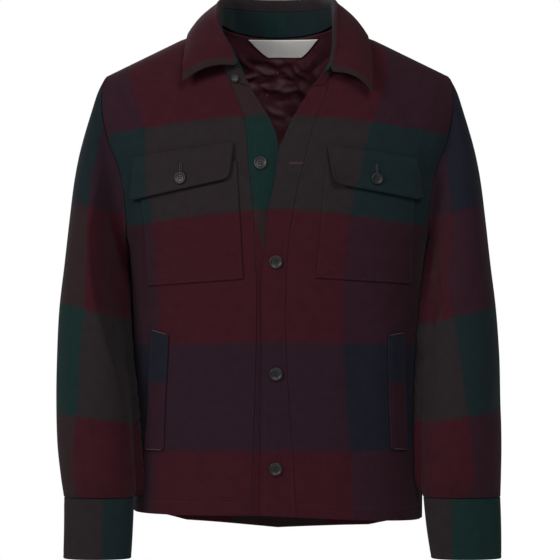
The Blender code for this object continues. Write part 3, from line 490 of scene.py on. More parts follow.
def backGrid(fine, half):
    # rows from hem to shoulders and neck, columns from the wearer's right to the left; fine gives the
    # row numbers and half the shares from the side to the middle
    arm = np.array(body["armhole"], float)
    shares = np.array(body["lowerRows"])
    underarm = arm[0, 0]
    half = half[None]
    n = body["roundness"]
    sides = []
    for side in (-1, 1):
        hem = straightCurve(body["hemBack"], side * body["hemHalf"])
        low = np.column_stack((hem + (underarm - hem) * shares, 0 * shares,
                               np.full(len(shares), underarm), 0 * shares))
        low[:, 1] = smoothCurve(body["form"], low[:, 0])[:, 0]
        high = np.column_stack((arm[:, 0], arm[:, 1], arm[:, 3], np.linspace(0, 1, len(arm))))
        table = np.vstack((low, high))
        height, start, middle, blend = atRows(table, fine).T[:, :, None]
        width = smoothCurve(body["form"], height)[..., 0]
        first = np.arccos(np.clip(start / width, 0, 1) ** (n / 2))
        turns = first + (math.pi / 2 - first) * half
        curved = width * np.clip(np.cos(turns), 0, 1) ** (2 / n)
        curved = curved * start / curved[:, :1]
        blend = np.clip(blend, 0, 1)
        x = curved * (1 - blend) + start * (1 - half) * blend
        share = atRows(np.append(shares, np.ones(len(arm))), fine)
        hemX = straightCurve(body["hemBack"], side * x)
        zLow = hemX + (underarm - hemX) * share
        zHigh = height + (middle - height) * (start - x) / start
        z = np.where(fine[:, None] < len(shares), zLow, zHigh)
        neck = body["backNeck"] + (16 - body["backNeck"]) * np.clip(x / body["neckHalf"], 0, 1) ** 2.5
        top = np.where(x > body["neckHalf"], straightCurve(body["shoulder"], x), neck)
        toTop = np.clip(fine - (len(table) - 2), 0, 1)[:, None]
        z = z + (top - z) * toTop ** 2
        sides.append((side * x, z))
    (xa, za), (xb, zb) = sides
    return np.concatenate((xa, xb[:, -2::-1]), 1), np.concatenate((za, zb[:, -2::-1]), 1)


wefts = {"body": ((-900, "red"), (-579, "navy"), (-431, "red"), (-248, "green"), (-117, "red"))}
warps = {"left": ((-900, "red"), (80, "navy")),
         "right": ((-900, "green"), (0, "red"), (146, "navy")),
         "back": ((-900, "navy"), (-215, "red"), (-70, "green"), (70, "red"), (215, "navy"))}
stitchRuns = []      # paths of points and normals, for the topstitching at the end


def makePanel(name, node, x, z, side, uv, wool):
    # outer wall of the body, closed onto the other side at the side seams and shoulders
    points, normals = onBody(x, z, side=side)
    half = side * body["seam"] / 2
    if side < 0:
        first = np.arange(x.shape[1]) == 0
        sideSeam = first & (bodyDepth(x, z, -1) > -60) & (np.abs(x) > 200) & (z < body["frontSideTop"])
        points[..., 1] = np.where(sideSeam, half, points[..., 1])
        points[-1, :, 1] = half
    else:
        for column in (0, -1):
            below = z[:, column] < body["backSideTop"]
            points[:, column, 1] = np.where(below, half, points[:, column, 1])
        points[-1, np.abs(x[-1]) > body["neckHalf"] - .01, 1] = half
    turned = gridNormals(points, like=normals)
    turned[-1] = normals[-1]
    hem = edgeDistance(points, bottom=False, start=False, end=False)
    halfWall = np.minimum(rounded(edgeDistance(points, top=False), body["cloth"], .8, least=.6),
                          rounded(hem, body["cloth"], 1.5))
    if side < 0:
        halfWall = halfWall - .35 * np.exp(-((hem - body["hemStitch"]) / 1.4) ** 2)[..., None]
    middle = points - turned * body["cloth"] / 2
    addCloth(name, node, middle, turned, halfWall, uv, wool)
    row = np.argmin(np.abs(hem[:, 20 if side < 0 else 40] - body["hemStitch"]))
    stitchRuns.append((middle[row] + turned[row] * (body["cloth"] / 2 - .2), turned[row]))


def makeBodyPanels():
    for name, side in (("right", -1), ("left", 1)):
        wool = brushedWool("brushedWool_front_" + name, warps[name], wefts["body"])
        x, z = frontGrid(side)
        makePanel("frontPanel_" + name, "front_" + name, x, z, -1, frontFlat(x, z, side), wool)
    wool = brushedWool("brushedWool_back", warps["back"], wefts["body"])
    x, z = backGrid(bodyRows(), spread(48, 260, end=False))
    makePanel("backPanel", "back", x, z, 1, bodyFlat(x, z, 1, 0.0), wool)
    print("fronts and back made")


# lining of the back, quilted in diamonds, puckered and creased

lining = {"gap": 2.8, "cloth": 1.5, "diamond": 46, "puff": .9, "crumple": 4.2, "neckReach": 130,
          # x and height
          "ties": ((-.7, -41.5), (12, -44.4), (-22, -58.6), (-16.3, -72.8)),
          # the label's middle, foot, half width at height 0, and how far the crumples fade beside it
          "label": (9, -18, 46, 7),
          # x and height of both ends, width, depth: the folds that show through the neck
          "creases": (
        (-58, -12, -34, -40, 3.2, 3.4), (-44, -22, -14, -34, 4.5, -4), (-30, -36, -2, -46, 3, 4.2),
        (-54, -46, -26, -46, 3.4, 5), (-14, -30, 18, -36, 5, -3.4), (-24, -60, 4, -66, 3.2, 5),
        (2, -66, 34, -67, 3.2, 4.6), (2, -40, 26, -58, 5, -4.6), (22, -30, 44, -52, 4.2, 3.8),
        (-40, -54, -8, -56, 5.5, -3.6), (30, -54, 58, -88, 6, 4), (46, -16, 62, -56, 6, 3.6),
        (-8, -76, 24, -82, 5, -3.2), (-18, -92, 14, -108, 4, 3.6), (8, -96, 40, -112, 5.5, -3.2),
        (-48, -84, -24, -112, 5, 3.4), (-10, -112, 22, -128, 6, 2), (-70, -120, -14, -150, 8, 2.2),
        (14, -140, 70, -160, 8, 2), (-120, -200, -30, -250, 12, 2), (30, -220, 130, -240, 12, 2),
        (-90, -340, 40, -372, 14, 2), (-20, -470, 110, -440, 13, 2.2), (-130, -560, 20, -590, 12, 2))}


def makeLining():
    # diamonds: the puff is the product of two sines along the diagonals, pinched where lines cross
    rows = np.concatenate((np.arange(1, 13, .2), np.arange(13, 18, .07), 18 - np.linspace(1, 0, 13) ** 2))
    half = np.concatenate((np.linspace(0, .64, 34), np.linspace(.65, 1, 74)))
    x, z = backGrid(np.unique(rows), half)
    points, normals = onBody(x, z, side=1)
    d = lining["diamond"]
    a, b = (x + z) / d, (x - z) / d
    puff = np.abs(np.sin(math.pi * a) * np.sin(math.pi * b)) ** .5 * lining["puff"]
    # crumples: two bent triangle waves, so flat facets meet in sharp lines, deepest at the neck
    near = .2 + .8 * np.exp(-(z / lining["neckReach"]) ** 2)
    angles = ((.5 * x + z) / 12.5 + 1.1 * np.sin(x / 17 + z / 41),
              (x - .45 * z) / 15.5 + 1.2 * np.sin(z / 15 - x / 53))
    wave1, wave2 = (np.abs(np.mod(angle / math.pi, 1) * 2 - 1) for angle in angles)
    crumple = lining["crumple"] * near * (wave1 * (.35 + .65 * wave2) + .5 * wave2)
    folds = -creaseDepth(x, z, lining["creases"])
    # they stop beside and under the label, which narrows downwards
    labelX, labelFoot, labelHalf, fade = lining["label"]
    away = np.maximum(np.abs(x - labelX) - labelHalf - z, labelFoot - z)
    calm = np.clip(away / fade, 0, 1) * np.clip(-z / 14 + .5, 0, 1)
    depth = lining["gap"] + lining["cloth"] + (puff + crumple + folds) * calm
    inside = points - normals * depth[..., None]
    outside = points - normals * lining["gap"]
    uv = bodyFlat(x, z, 1, 0.0)
    piece = addWall("quiltedLining", outside, inside, uv, quiltedTaffeta("quiltedTaffeta"))
    cloth(piece, "back_lining", uv, slot="lining", restsOn=["backPanel"])
    # ties that hold the quilting, each one a short pale stitch
    tieThread = plainFinish("tieThread", "#8d7078", "#77595f", .4, {"Roughness": .6})
    for index, (tieX, tieZ) in enumerate(lining["ties"]):
        row, column = np.unravel_index(np.argmin((x - tieX) ** 2 + (z - tieZ) ** 2), x.shape)
        along = np.linspace(-1, 1, 14)[:, None]
        size = .45 * np.sqrt(np.clip(1 - along ** 6, 0, 1))
        out = -normals[row, column]
        across = unit(np.cross(out, (1.0, 0, .6 * (-1) ** index)))
        wide, high = size * np.cos(roundTurns), .3 + size * np.sin(roundTurns)
        grid = inside[row, column] + (across * along[..., None] * 2.2 + out * high[..., None]
                                      + np.cross(across, out) * wide[..., None])
        addSkin("quiltTie_%d" % index, grid, tieThread)
    print("lining made")


# plackets: the left one laps over, the right one passes under it

placket = {"drift": ((-344, 18), (-252, 0)),       # height, how far the right one's warp runs off the grain
           "shares": (0, .26, .6, 1), "top": (2, 1.5, 1, 0), "underlap": 3.2, "ramp": 12, "overlap": 1.0,
           # x and height along the neck seam
           "stationsRight": ((-37, -77), (-57, -70), (-71.5, -57)),
           "stationsLeft": ((47, -76), (64.5, -73.5), (74.5, -57)),
           # distance of both rows of stitches from the free edge
           "stitchRight": (5.5, 41.0), "stitchLeft": (5.5, 43.0)}


def makePlacket(name, side):
    # rows from the hem up to the neck's corner, then a short piece up to the neck seam
    key = name.capitalize()
    seam, edge = body["seam" + key], body["edge" + key]
    arm = np.array(body["armhole"], float)[:body["placketRows"]]
    shares = np.array(body["lowerRows"])
    hemAt = [straightCurve(line, body["hemLevel"]) for line in (seam, edge)]
    hems = straightCurve(body["hemFront"], hemAt)
    low = np.column_stack([hem + (arm[0, 0] - hem) * shares for hem in hems])
    table = np.vstack((low, np.column_stack((arm[:, 2], arm[:, 4 if side < 0 else 5]))))
    fine = np.concatenate((bodyRows()[:17], np.arange(1, len(table) - 1, .2)))
    seamZ, edgeZ = atRows(table, fine).T[:, :, None]
    across = spread(12, 50)[None]
    start = smoothCurve(seam, seamZ)[..., 0] - side * body["seam"]
    end = smoothCurve(edge, edgeZ)[..., 0]
    x, z = start + (end - start) * across, seamZ + (edgeZ - seamZ) * across
    stations = np.array(placket["stations" + key], float)
    spots = np.interp(across[0], placket["shares"], placket["top"])
    topX = np.interp(spots, (0, 1, 2), stations[:, 0]) - side * body["seam"] * (1 - across[0])
    topZ = np.interp(spots, (0, 1, 2), stations[:, 1])
    lastX, lastZ = smoothCurve(seam, table[-1, 0])[0] - side * body["seam"], table[-1, 0]
    lastX = lastX + (smoothCurve(edge, table[-1, 1])[0] - lastX) * across[0]
    lastZ = lastZ + (table[-1, 1] - lastZ) * across[0]
    rise = spread(8, 30, start=False)[:, None]
    x = np.vstack((x, lastX + (topX - lastX) * rise))
    z = np.vstack((z, lastZ + (topZ - lastZ) * rise))
    points = np.stack((x, bodyDepth(x, z, -1), z), -1)
    normals = bodyNormal(points)
    if side < 0:
        lap = np.clip((x - straightCurve(body["edgeLeft"], z) + placket["ramp"]) / placket["ramp"], 0, 1)
        lift = -placket["underlap"] * lap
    else:
        lift = placket["overlap"] * across + 0 * x
    middle = points + normals * (lift - body["cloth"] / 2)[..., None]
    halfWall = rounded(edgeDistance(middle), body["cloth"] + .4, 1.8, (5.5, .3))
    uv = frontFlat(x, z, side)
    if side < 0:
        uv[..., 0] += straightCurve(placket["drift"], z)
    wool = brushedWool("brushedWool_placket_" + name, warps[name], wefts["body"])
    addCloth("placketBand_" + name, "placket_" + name, middle, normals, halfWall, uv, wool)
    across = edgeDistance(middle, top=False, bottom=False, start=False)
    outside = middle + normals * (halfWall - stitch["seat"])
    for inset in placket["stitch" + key]:
        column = np.argmin(np.abs(across - inset), axis=1)
        rows = np.arange(len(column))
        keep = np.abs(across[rows, column] - inset) < 4
        stitchRuns.append((outside[rows, column][keep], normals[rows, column][keep]))


def makePlackets():
    for name, side in (("right", -1), ("left", 1)):
        makePlacket(name, side)
    print("plackets made")


# collar, from the front end to the back middle: neck seam x and z, fold x, y and z, leaf edge x, y and z

collar = {
    "right": (
        (-37, -77, -53.6, -91, -43, -131.2, -100, -69.2), (-57, -70, -61.5, -85, -26, -131.5, -87, -48),
        (-71.5, -57, -70.5, -77, -9, -130.5, -70, -32), (-77, -34, -78, -62, 7, -129, -49, -15),
        (-79.5, -9, -80, -41, 28, -127, -26, -1), (-80, 16, -77.5, 2, 50, -122, 10, 6),
        (-58, 9.9, -62, 46, 57, -92, 68, 1), (-36, 6.5, -39, 64, 57.5, -58, 91, -3),
        (-17, 5.2, -18, 71, 57.5, -27, 99, -5), (0, 5, 0, 73, 57.5, 0, 101, -6)),
    "left": (
        (47, -76, 70.5, -94, -50, 130.9, -106, -83.6), (64.5, -73.5, 75, -87, -34, 132, -95, -64),
        (74.5, -57, 77.5, -78, -13, 132, -77, -42), (78.5, -34, 78, -63, 8, 130.5, -53, -20),
        (79.5, -9, 78, -41, 28, 128, -26, -3), (80, 16, 77, 2, 50, 122, 10, 5),
        (58, 9.9, 62, 46, 57, 92, 68, 1), (36, 6.5, 39, 64, 57.5, 58, 91, -3),
        (17, 5.2, 18, 71, 57.5, 27, 99, -5)),
    "steps": 2, "standShare": .72, "standLift": 1.0, "cloth": 2.6, "foldWidth": 9, "foldRise": 2.5,
    "bulge": 4, "bow": 6.5, "leafRows": (.25, .5, .75, 1), "stitch": 6.5,
    "neckButton": (2, .3),      # station, and share of the way up the stand
}


def collarForm():
    # coarse rows across the collar: neck seam, stand, fold, and leaf down to its edge
    stations = np.array(collar["right"] + collar["left"][::-1], float)
    places = np.arange(len(stations))
    fine = np.linspace(0, len(stations) - 1, (len(stations) - 1) * collar["steps"] + 1)
    smooth = atRows(stations, fine)
    front = np.abs(places - places[-1] / 2) > 4
    neckY = np.where(front, *(bodyDepth(stations[:, 0], stations[:, 1], side) for side in (-1, 1)))
    corners = np.stack((stations[:, 0], neckY, stations[:, 1]), -1)
    neck = np.stack([np.interp(fine, places, corners[:, k]) for k in range(3)], -1)
    fold, edge = smooth[:, 2:5], smooth[:, 5:8]
    up = np.array((0.0, 0.0, 1.0))
    rise = unit(fold - neck)
    out = np.cross(up, np.gradient(fold, axis=0) * (1, 1, 0))
    out = unit(unit(out) + unit(np.cross(rise, np.gradient((neck + fold) / 2, axis=0))))
    foot, top = neck + rise * collar["standLift"], neck + (fold - neck) * collar["standShare"]
    rows = [foot, (foot + top) / 2, top, fold - up * collar["foldRise"],
            fold + out * collar["foldWidth"] / 2 + up * collar["foldRise"]]
    start = fold + out * collar["foldWidth"] - up * collar["foldRise"]
    rows.append(start)
    ends = np.abs(fine - places[-1] / 2) / (places[-1] / 2)
    for share in collar["leafRows"]:
        arch = math.sin(math.pi * share)
        bulge = (out * collar["bulge"] + up * collar["bulge"] / 2) * arch
        rows.append(start + (edge - start) * share + bulge + up * collar["bow"] * arch * ends[:, None] ** 6)
    return np.array(rows)


def finer(coarse, rows, columns):
    # smooth surface through a coarse grid, at fine row and column numbers
    down = atRows(coarse.reshape(len(coarse), -1), rows).reshape(len(rows), -1, 3).swapaxes(0, 1)
    across = atRows(down.reshape(len(down), -1), columns)
    return across.reshape(len(columns), -1, 3).swapaxes(0, 1)


def makeStand(coarse, columns):
    # the band round the neck: collar rows 0 to 2, rounded thin where it meets the body and the leaf
    grid = finer(coarse, 2 * spread(14, 30), columns)
    down, along = arcs(grid), arcs(grid[0])
    reach = along[-1] / 2
    halfWall = np.minimum(rounded(edgeDistance(grid, top=False, bottom=False), collar["cloth"], 2.2),
                          rounded(edgeDistance(grid, start=False, end=False), collar["cloth"], 1.2))
    warp = ((-900, "red"), (60 - reach, "navy"), (-20, "green"), (12, "navy"), (reach - 50, "red"))
    wool = brushedWool("brushedWool_collarStand", warp, ((-900, "green"), (reach - 50, "red")), weftAxis=0)
    uv = np.stack(((along - reach) + 0 * down, down), -1)
    addCloth("collarStand", "collar_stand", grid, -gridNormals(grid), halfWall, uv, wool)


def makeLeaf(coarse, columns):
    # the part that turns down: collar rows 2 to 9, thick along its free edges, with a groove of stitches
    inset = collar["stitch"]
    grid = finer(coarse, 2 + 7 * spread(36, 95), columns)
    normals = -gridNormals(grid)
    down, along = arcs(grid), arcs(grid[-1])
    reach = along[-1] / 2
    foot = edgeDistance(grid, bottom=False, start=False, end=False)
    halfWall = np.minimum(rounded(edgeDistance(grid, top=False), collar["cloth"] + .8, 2.4, (inset, .4)),
                          rounded(foot, collar["cloth"], 1.2))
    wool = brushedWool("brushedWool_collarLeaf", ((-900, "green"), (13 - reach, "red"),
    (reach - 13, "green")),
                       ((-900, "red"), (63, "green")))
    # the flat cut's height is measured up from the leaf's edge on a strip 80 mm wide
    uv = np.stack(((along - reach) + 0 * down, (1 - down / down[-1:]) * 80), -1)
    addCloth("collarLeaf", "collar_leaf", grid, normals, halfWall, uv, wool)
    outside = grid + normals * (halfWall - stitch["seat"])
    row = np.argmin(np.abs((down[-1:] - down) - inset), axis=0)
    inside = (along > inset) & (along < along[-1] - inset)
    spots = np.arange(len(along))
    stitchRuns.append((outside[row, spots][inside], normals[row, spots][inside]))
    for column in (np.argmin(np.abs(along - inset)), np.argmin(np.abs(along - along[-1] + inset))):
        keep = (down[-1, column] - down[:, column] > inset) & (down[:, column] > 14)
        stitchRuns.append((outside[keep, column], normals[keep, column]))


def makeCollar():
    # both pieces take the same fine columns, so their seam matches
    coarse = collarForm()
    count = coarse.shape[1] - 1
    columns = spread(4 * count, 480) * count
    makeStand(coarse, columns)
    makeLeaf(coarse, columns)
    print("collar made")


# sleeves: outer end x and z, inner end x and z, middle y, half depth of each ring

sleeve = {
    "top": (
        (242.4, -55, 211.4, -298.6, 0, 56), (253, -75, 212, -302, 0, 58), (263, -105, 212.2, -306, -2, 62),
        (273.5, -140, 212.2, -311, -5, 67), (281.5, -172, 211.8, -317, -8, 70),
        (288, -210, 211, -325, -13, 72), (293.6, -262, 209.6, -337, -24, 71)),
    "right": (
        (299.2, -322, 207, -358, -40, 67), (305.3, -385, 203, -402, -56, 62),
        (307.8, -450, 200.8, -455, -65, 60), (308.6, -510, 199.8, -510, -68, 59),
        (307.2, -570, 198.6, -570, -68, 57), (302.6, -615, 197.4, -615, -68, 52),
        (299.6, -636, 197.6, -636, -68, 43), (298, -646, 199.6, -646, -68, 36)),
    "left": (
        (299.2, -322, 207, -358, -40, 67), (305.8, -385, 203.6, -402, -56, 62),
        (309.8, -450, 201.6, -455, -65, 60), (311.4, -510, 201, -510, -68, 59),
        (312.6, -570, 200.8, -570, -68, 57), (312, -615, 200.8, -615, -68, 52),
        (311.4, -636, 201.2, -636, -68, 43), (311.2, -646, 203, -646, -68, 36)),
    "cuffRight": (
        (297.6, -646.6, 200, -646.6, -68, 34.5), (298, -690, 202, -690, -68, 33.5),
        (299.2, -732, 204.6, -732, -68, 33)),
    "cuffLeft": (
        (311, -646.6, 203.6, -646.6, -68, 34.5), (312, -690, 208, -690, -68, 33.5),
        (312, -732, 214.2, -732, -68, 33)),
    "turns": 120, "armGap": .4, "clear": .7, "cuffStitch": (5, 81), "around": 360, "innerLine": 178,
    "hollowEnds": (172, 186, 260),      # distances round where the hollow is full, fades and is gone
    # the check: distance round or height where each yarn starts
    "warpRight": ((-900, "navy"), (-65, "green"), (80, "red"), (225, "navy"), (299, "green")),
    "weftRight": ((-900, "red"), (-535, "green"), (-387, "red"), (-244, "navy")),
    "warpLeft": ((-900, "green"), (-7, "navy"), (80, "red"), (225, "green"), (299, "navy")),
    "weftLeft": ((-900, "red"), (-534, "green"), (-394, "red"), (-248, "navy")),
    "cuffWarpRight": ((-900, "red"), (72, "navy"), (200, "red")),
    "cuffWarpLeft": ((-900, "green"), (86, "red"), (210, "green")),
    # height and slope of the weft
    "slope": ((-640, .04), (-520, .16), (-420, .24), (-300, .27)),
    # the hollow beside the body: height, depth, distance of its ridge round from the outer line
    "hollowRight": (
        (-650, 0, 156), (-600, 10, 158), (-547, 26, 152), (-490, 50, 134), (-440, 64, 115), (-376, 70, 92),
        (-327, 68, 80), (-277, 60, 74), (-220, 42, 80), (-150, 18, 92), (-90, 0, 95)),
    "hollowLeft": (
        (-650, 0, 150), (-600, 2, 150), (-520, 12, 140), (-450, 20, 134), (-372, 20, 128), (-290, 12, 122),
        (-220, 6, 118), (-90, 0, 110)),
    # height of the check's warp edge on the sleeve, and its distance round from the outer line
    "shiftRight": ((-244, 84), (-372, 76), (-448, 69), (-528, 65), (-643, 38)),
    "shiftLeft": ((-255, 124), (-337, 110), (-413, 98), (-510, 86), (-621, 68)),
    # creases: distance round from the outer line and height of both ends, width, depth
    "creasesRight": (
        (118, -160, 126, -320, 14, 3.6), (118, -310, 138, -440, 12, 3.2), (128, -380, 214, -362, 16, 3.8),
        (124, -446, 206, -462, 16, 3.8), (92, -520, 150, -566, 15, 3), (88, -180, 96, -330, 14, -1.8),
        (60, -352, 150, -396, 9, 1.8), (140, -410, 210, -412, 9, 2.6), (24, -470, 84, -520, 13, 1.8),
        (20, -588, 96, -606, 9, 2.4), (110, -606, 190, -596, 8, 2.6), (220, -590, 320, -604, 9, 2.6),
        (250, -380, 330, -420, 14, 2.2), (230, -480, 300, -540, 17, 2.8), (300, -200, 316, -340, 19, 2.8),
        (226, -210, 250, -340, 17, 3), (44, -614, 60, -640, 6, 1.4), (78, -620, 84, -641, 5, 1.3),
        (150, -618, 156, -640, 6, 1.4), (190, -616, 200, -640, 6, 1.3), (270, -616, 276, -640, 6, 1.4)),
    "creasesLeft": (
        (122, -160, 134, -320, 15, 4), (136, -330, 142, -430, 9, 6), (152, -350, 148, -450, 7, 4),
        (136, -392, 214, -372, 16, 3.6), (132, -516, 180, -540, 16, 4.2), (16, -488, 70, -566, 17, 2.8),
        (150, -430, 140, -500, 9, 2.6), (100, -340, 116, -470, 14, -1.8), (60, -366, 140, -392, 9, 1.8),
        (140, -444, 210, -448, 9, 3), (86, -176, 92, -300, 13, -1.6), (30, -596, 110, -604, 9, 2.4),
        (120, -586, 186, -606, 8, 2.8), (224, -596, 316, -590, 9, 2.6), (256, -372, 336, -430, 14, 2.2),
        (226, -500, 306, -530, 17, 2.6), (302, -190, 312, -340, 19, 2.6), (228, -220, 246, -340, 17, 2.8),
        (58, -614, 66, -641, 6, 1.3), (100, -618, 104, -640, 5, 1.2), (160, -616, 168, -640, 6, 1.4),
        (214, -616, 222, -640, 6, 1.3), (290, -616, 296, -640, 6, 1.4)),
}


def sleeveRing(values, side, turns):
    # ellipse between the outer and inner ends, in a plane along Y
    outerX, outerZ, innerX, innerZ, middleY, halfDepth = (v[..., None] for v in values.T)
    outerY = np.where(outerZ > -75, middleY / 2, middleY)
    outer = np.stack((outerX, outerY, outerZ), -1)
    inner = np.stack((innerX, middleY, innerZ), -1)
    c, s = np.cos(turns)[..., None], np.sin(turns)[..., None]
    forward = np.stack((0 * halfDepth, halfDepth, 0 * halfDepth), -1)
    points = (outer + inner) / 2 + c * (outer - inner) / 2 - s * forward
    points[..., 0] *= side
    return points


def armholeLoop(side, turns):
    # armhole as a smooth loop: from the shoulder tip down the front, under the arm and up the back
    arm = np.array(body["armhole"], float)
    x, z = arm[:, 1], arm[:, 0]
    front = np.stack((x, bodyDepth(x, z, -1), z), -1)[::-1]
    back = np.stack((x, bodyDepth(x, z, 1), z), -1)
    front[0, 1] = front[-1, 1] = 0.0
    loop = np.concatenate((front, back[1:]))
    normals = bodyNormal(loop)
    places = np.linspace(0, math.tau, len(loop))
    return [smoothCurve(np.column_stack((places, values)), turns) * (side, 1, 1)
            for values in (loop, normals)]


def besideBody(points, distance, down):
    # keeps a sleeve clear of the body's side, and lets its inner line rest there: the body reaches
    # width * (1 - (|y| / depth)^n)^(1/n), and no further than the armhole's edge
    x, y, z = np.moveaxis(points, -1, 0)
    width, front, back = np.moveaxis(smoothCurve(body["form"], z), -1, 0)
    n = body["roundness"]
    reach = width * np.clip(1 - (np.abs(y) / np.where(y < 0, front, back)) ** n, 0, 1) ** (1 / n)
    arm = np.array(body["armhole"], float)
    edge = np.where(z < arm[0, 0], width, np.interp(z, arm[:, 0], arm[:, 1]))
    limit = np.where(z > -680, np.minimum(reach, edge) + sleeve["clear"], 0)
    room = np.abs(x) - limit
    touch = np.exp(-((distance - sleeve["innerLine"]) / 30) ** 2)
    touch = touch * np.clip((-280 - z) / 30, 0, 1) * np.clip((14 - room) / 6, 0, 1)
    moved = limit + np.maximum(room * (1 - touch), 0)
    points[..., 0] = np.sign(x) * np.where(down > 5, moved, np.abs(x))
    return points


def hollow(distance, z, down, table):
    # how far the cloth between the front ridge and the body's side falls back: it rises from the
    # ridge, is full beside the body and fades behind it; columns are height, depth, ridge
    depth, ridge = np.moveaxis(smoothCurve(table, z), -1, 0)
    full, fades, gone = sleeve["hollowEnds"]
    rise = 1 - (1 - np.clip((distance - ridge) / (full - ridge), 0, 1)) ** 1.3
    fall = np.clip((distance - fades) / (gone - fades), 0, 1)
    return depth * rise * (1 - fall * fall * (3 - 2 * fall)) * np.clip((down - 8) / 60, 0, 1)


def makeSleeve(name, side, turns):
    # a tube from the armhole to the cuff: the hollow and the creases are moved along its normals
    key = name.capitalize()
    table = np.array(sleeve["top"] + sleeve[name], float)
    count = len(table) - 1
    fine = spread(count * 8, 600, near=(0, .35, .9, 1.7, 2.8, 4.2, 6, 9)) * count
    loop, armNormals = armholeLoop(side, turns)
    loop = loop + np.array((side * sleeve["armGap"], 0, 0))
    rings = sleeveRing(atRows(table, fine), side, turns)
    fade = np.clip(1 - fine / len(sleeve["top"]), 0, 1) ** 2
    rings = rings + (loop - rings[0]) * fade[:, None, None]
    # the flat cut: u goes round and follows the warp's drift, v is the height with the weft's slope
    ends = closeUp(rings)
    arc, height, reach = arcs(ends, 1), ends[..., 2], np.abs(ends[..., 0])
    v = height - straightCurve(sleeve["slope"], height) * (reach - 255)
    uv = np.stack((arc - straightCurve(sleeve["shift" + key], height) + 80, v), -1)
    # the creases' distance round is taken on a sleeve that is 360 mm round all the way down
    distance = np.linspace(0, sleeve["around"], sleeve["turns"], endpoint=False)[None] + 0 * rings[..., 2]
    down = edgeDistance(rings, start=False, end=False)
    fromTop = edgeDistance(rings, bottom=False, start=False, end=False)
    rings[..., 1] += hollow(distance, rings[..., 2], fromTop, sleeve["hollow" + key])
    rings = besideBody(rings, distance, fromTop)
    depth = creaseDepth(distance, rings[..., 2], sleeve["creases" + key], sleeve["around"])
    # the inner line keeps its place beside the body
    depth *= 1 - np.exp(-((distance - 180) / 17) ** 2) * (rings[..., 2] < -250)
    depth *= np.clip(down / 14, 0, 1)       # they fade at both ends of the sleeve
    normals = gridNormals(rings, True) * side
    rings = besideBody(rings + normals * depth[..., None], distance, fromTop)
    turned = gridNormals(rings, True) * side
    turned[-1, :, 2] = 0
    turned[0] = armNormals
    turned[0, :, 0] = side * np.minimum(armNormals[:, 0] * side, 0)
    turned = unit(turned)
    middle = rings - turned * body["cloth"] / 2
    halfWall = rounded(down, body["cloth"], .8, least=.6)
    wool = brushedWool("brushedWool_sleeve_" + name, sleeve["warp" + key], sleeve["weft" + key])
    addCloth("sleeveTube_" + name, "sleeve_" + name, middle, turned, halfWall, uv, wool, closed=True,
             cut=np.stack((arc, v), -1))


def makeCuff(name, side, turns):
    # rings of doubled cloth, with a soft wave round them: half a millimetre times sin(3 * turn)
    key = name.capitalize()
    table = np.array(sleeve["cuff" + key], float)
    fine = spread(16, 86) * 2
    rings = sleeveRing(atRows(table, fine), side, turns)
    normals = gridNormals(rings, True) * side
    normals[..., 2] = 0
    normals = unit(normals)
    wave = .5 * np.sin(turns * 3 + side)[None] * np.clip((fine - .2) / 1.8, 0, 1)[:, None]
    halfWall = rounded(edgeDistance(rings, start=False, end=False), body["cloth"] + .3, 1.8, (5, .3))
    middle = rings + normals * (wave[..., None] - body["cloth"] / 2)
    ends = closeUp(rings)
    wool = brushedWool("brushedWool_cuff_" + name, sleeve["cuffWarp" + key], ((-900, "green"),
    (900, "green")))
    addCloth("cuffBand_" + name, "cuff_" + name, middle, normals, halfWall,
             np.stack((arcs(ends, 1), ends[..., 2]), -1), wool, closed=True)
    outside = closeUp(middle + normals * (halfWall - stitch["seat"]))
    for inset in sleeve["cuffStitch"]:
        row = np.argmin(np.abs(table[0, 1] - rings[:, 0, 2] - inset))
        stitchRuns.append((outside[row], closeUp(normals)[row]))


def makeSleeves():
    turns = np.linspace(0, math.tau, sleeve["turns"], endpoint=False)
    for name, side in (("right", -1), ("left", 1)):
        makeSleeve(name, side, turns)
        makeCuff(name, side, turns)
    print("sleeves and cuffs made")


# pieces sewn on the fronts: corners (x, z) as top start, top end, bottom end, bottom start

trim = {
    "lift": .7, "pocketCloth": 1.8, "flapCloth": 2.6, "weltCloth": 2.4, "flapLifts": (.7, 4, 5, 6.4),
    "weltWarp": ((-900, "navy"), (900, "navy")), "weltWeft": ((-900, "red"), (-482, "navy")),
    "flapDrops": (0, .26, .62, 1), "flapCorner": 9, "curl": {"right": 0, "left": 9},
    "pocket": {"right": ((-191, -198), (-56, -180), (-46.5, -342.6), (-179.3, -352.3)),
               "left": ((67, -184), (190.5, -200), (185.9, -349.5), (52.3, -341))},
    "flap": {"right": ((-199, -173), (-60, -154), (-65, -205), (-202, -234)),
             "left": ((68, -158), (193, -175), (198, -233), (76, -212))},
    "welt": {"right": ((-175, -413), (-150, -420), (-158, -580), (-185, -580)),
             "left": ((152, -421), (176, -417), (182, -580), (157, -578))},
}


def cornerRise(across, width, corner):
    # how far a round corner rises above a straight edge: r - sqrt(r^2 - d^2)
    near = np.clip(corner - np.minimum(across, 1 - across) * width, 0, None)
    return corner - np.sqrt(corner**2 - near**2)


def patch(corners, down, across):
    # (x, z) grid between four corners
    a, b, c, d = (np.array(corner, float) for corner in corners)
    down, across = down[:, None, None], across[None, :, None]
    flat = (a * (1 - across) + b * across) * (1 - down) + (d * (1 - across) + c * across) * down
    return flat[..., 0], flat[..., 1]


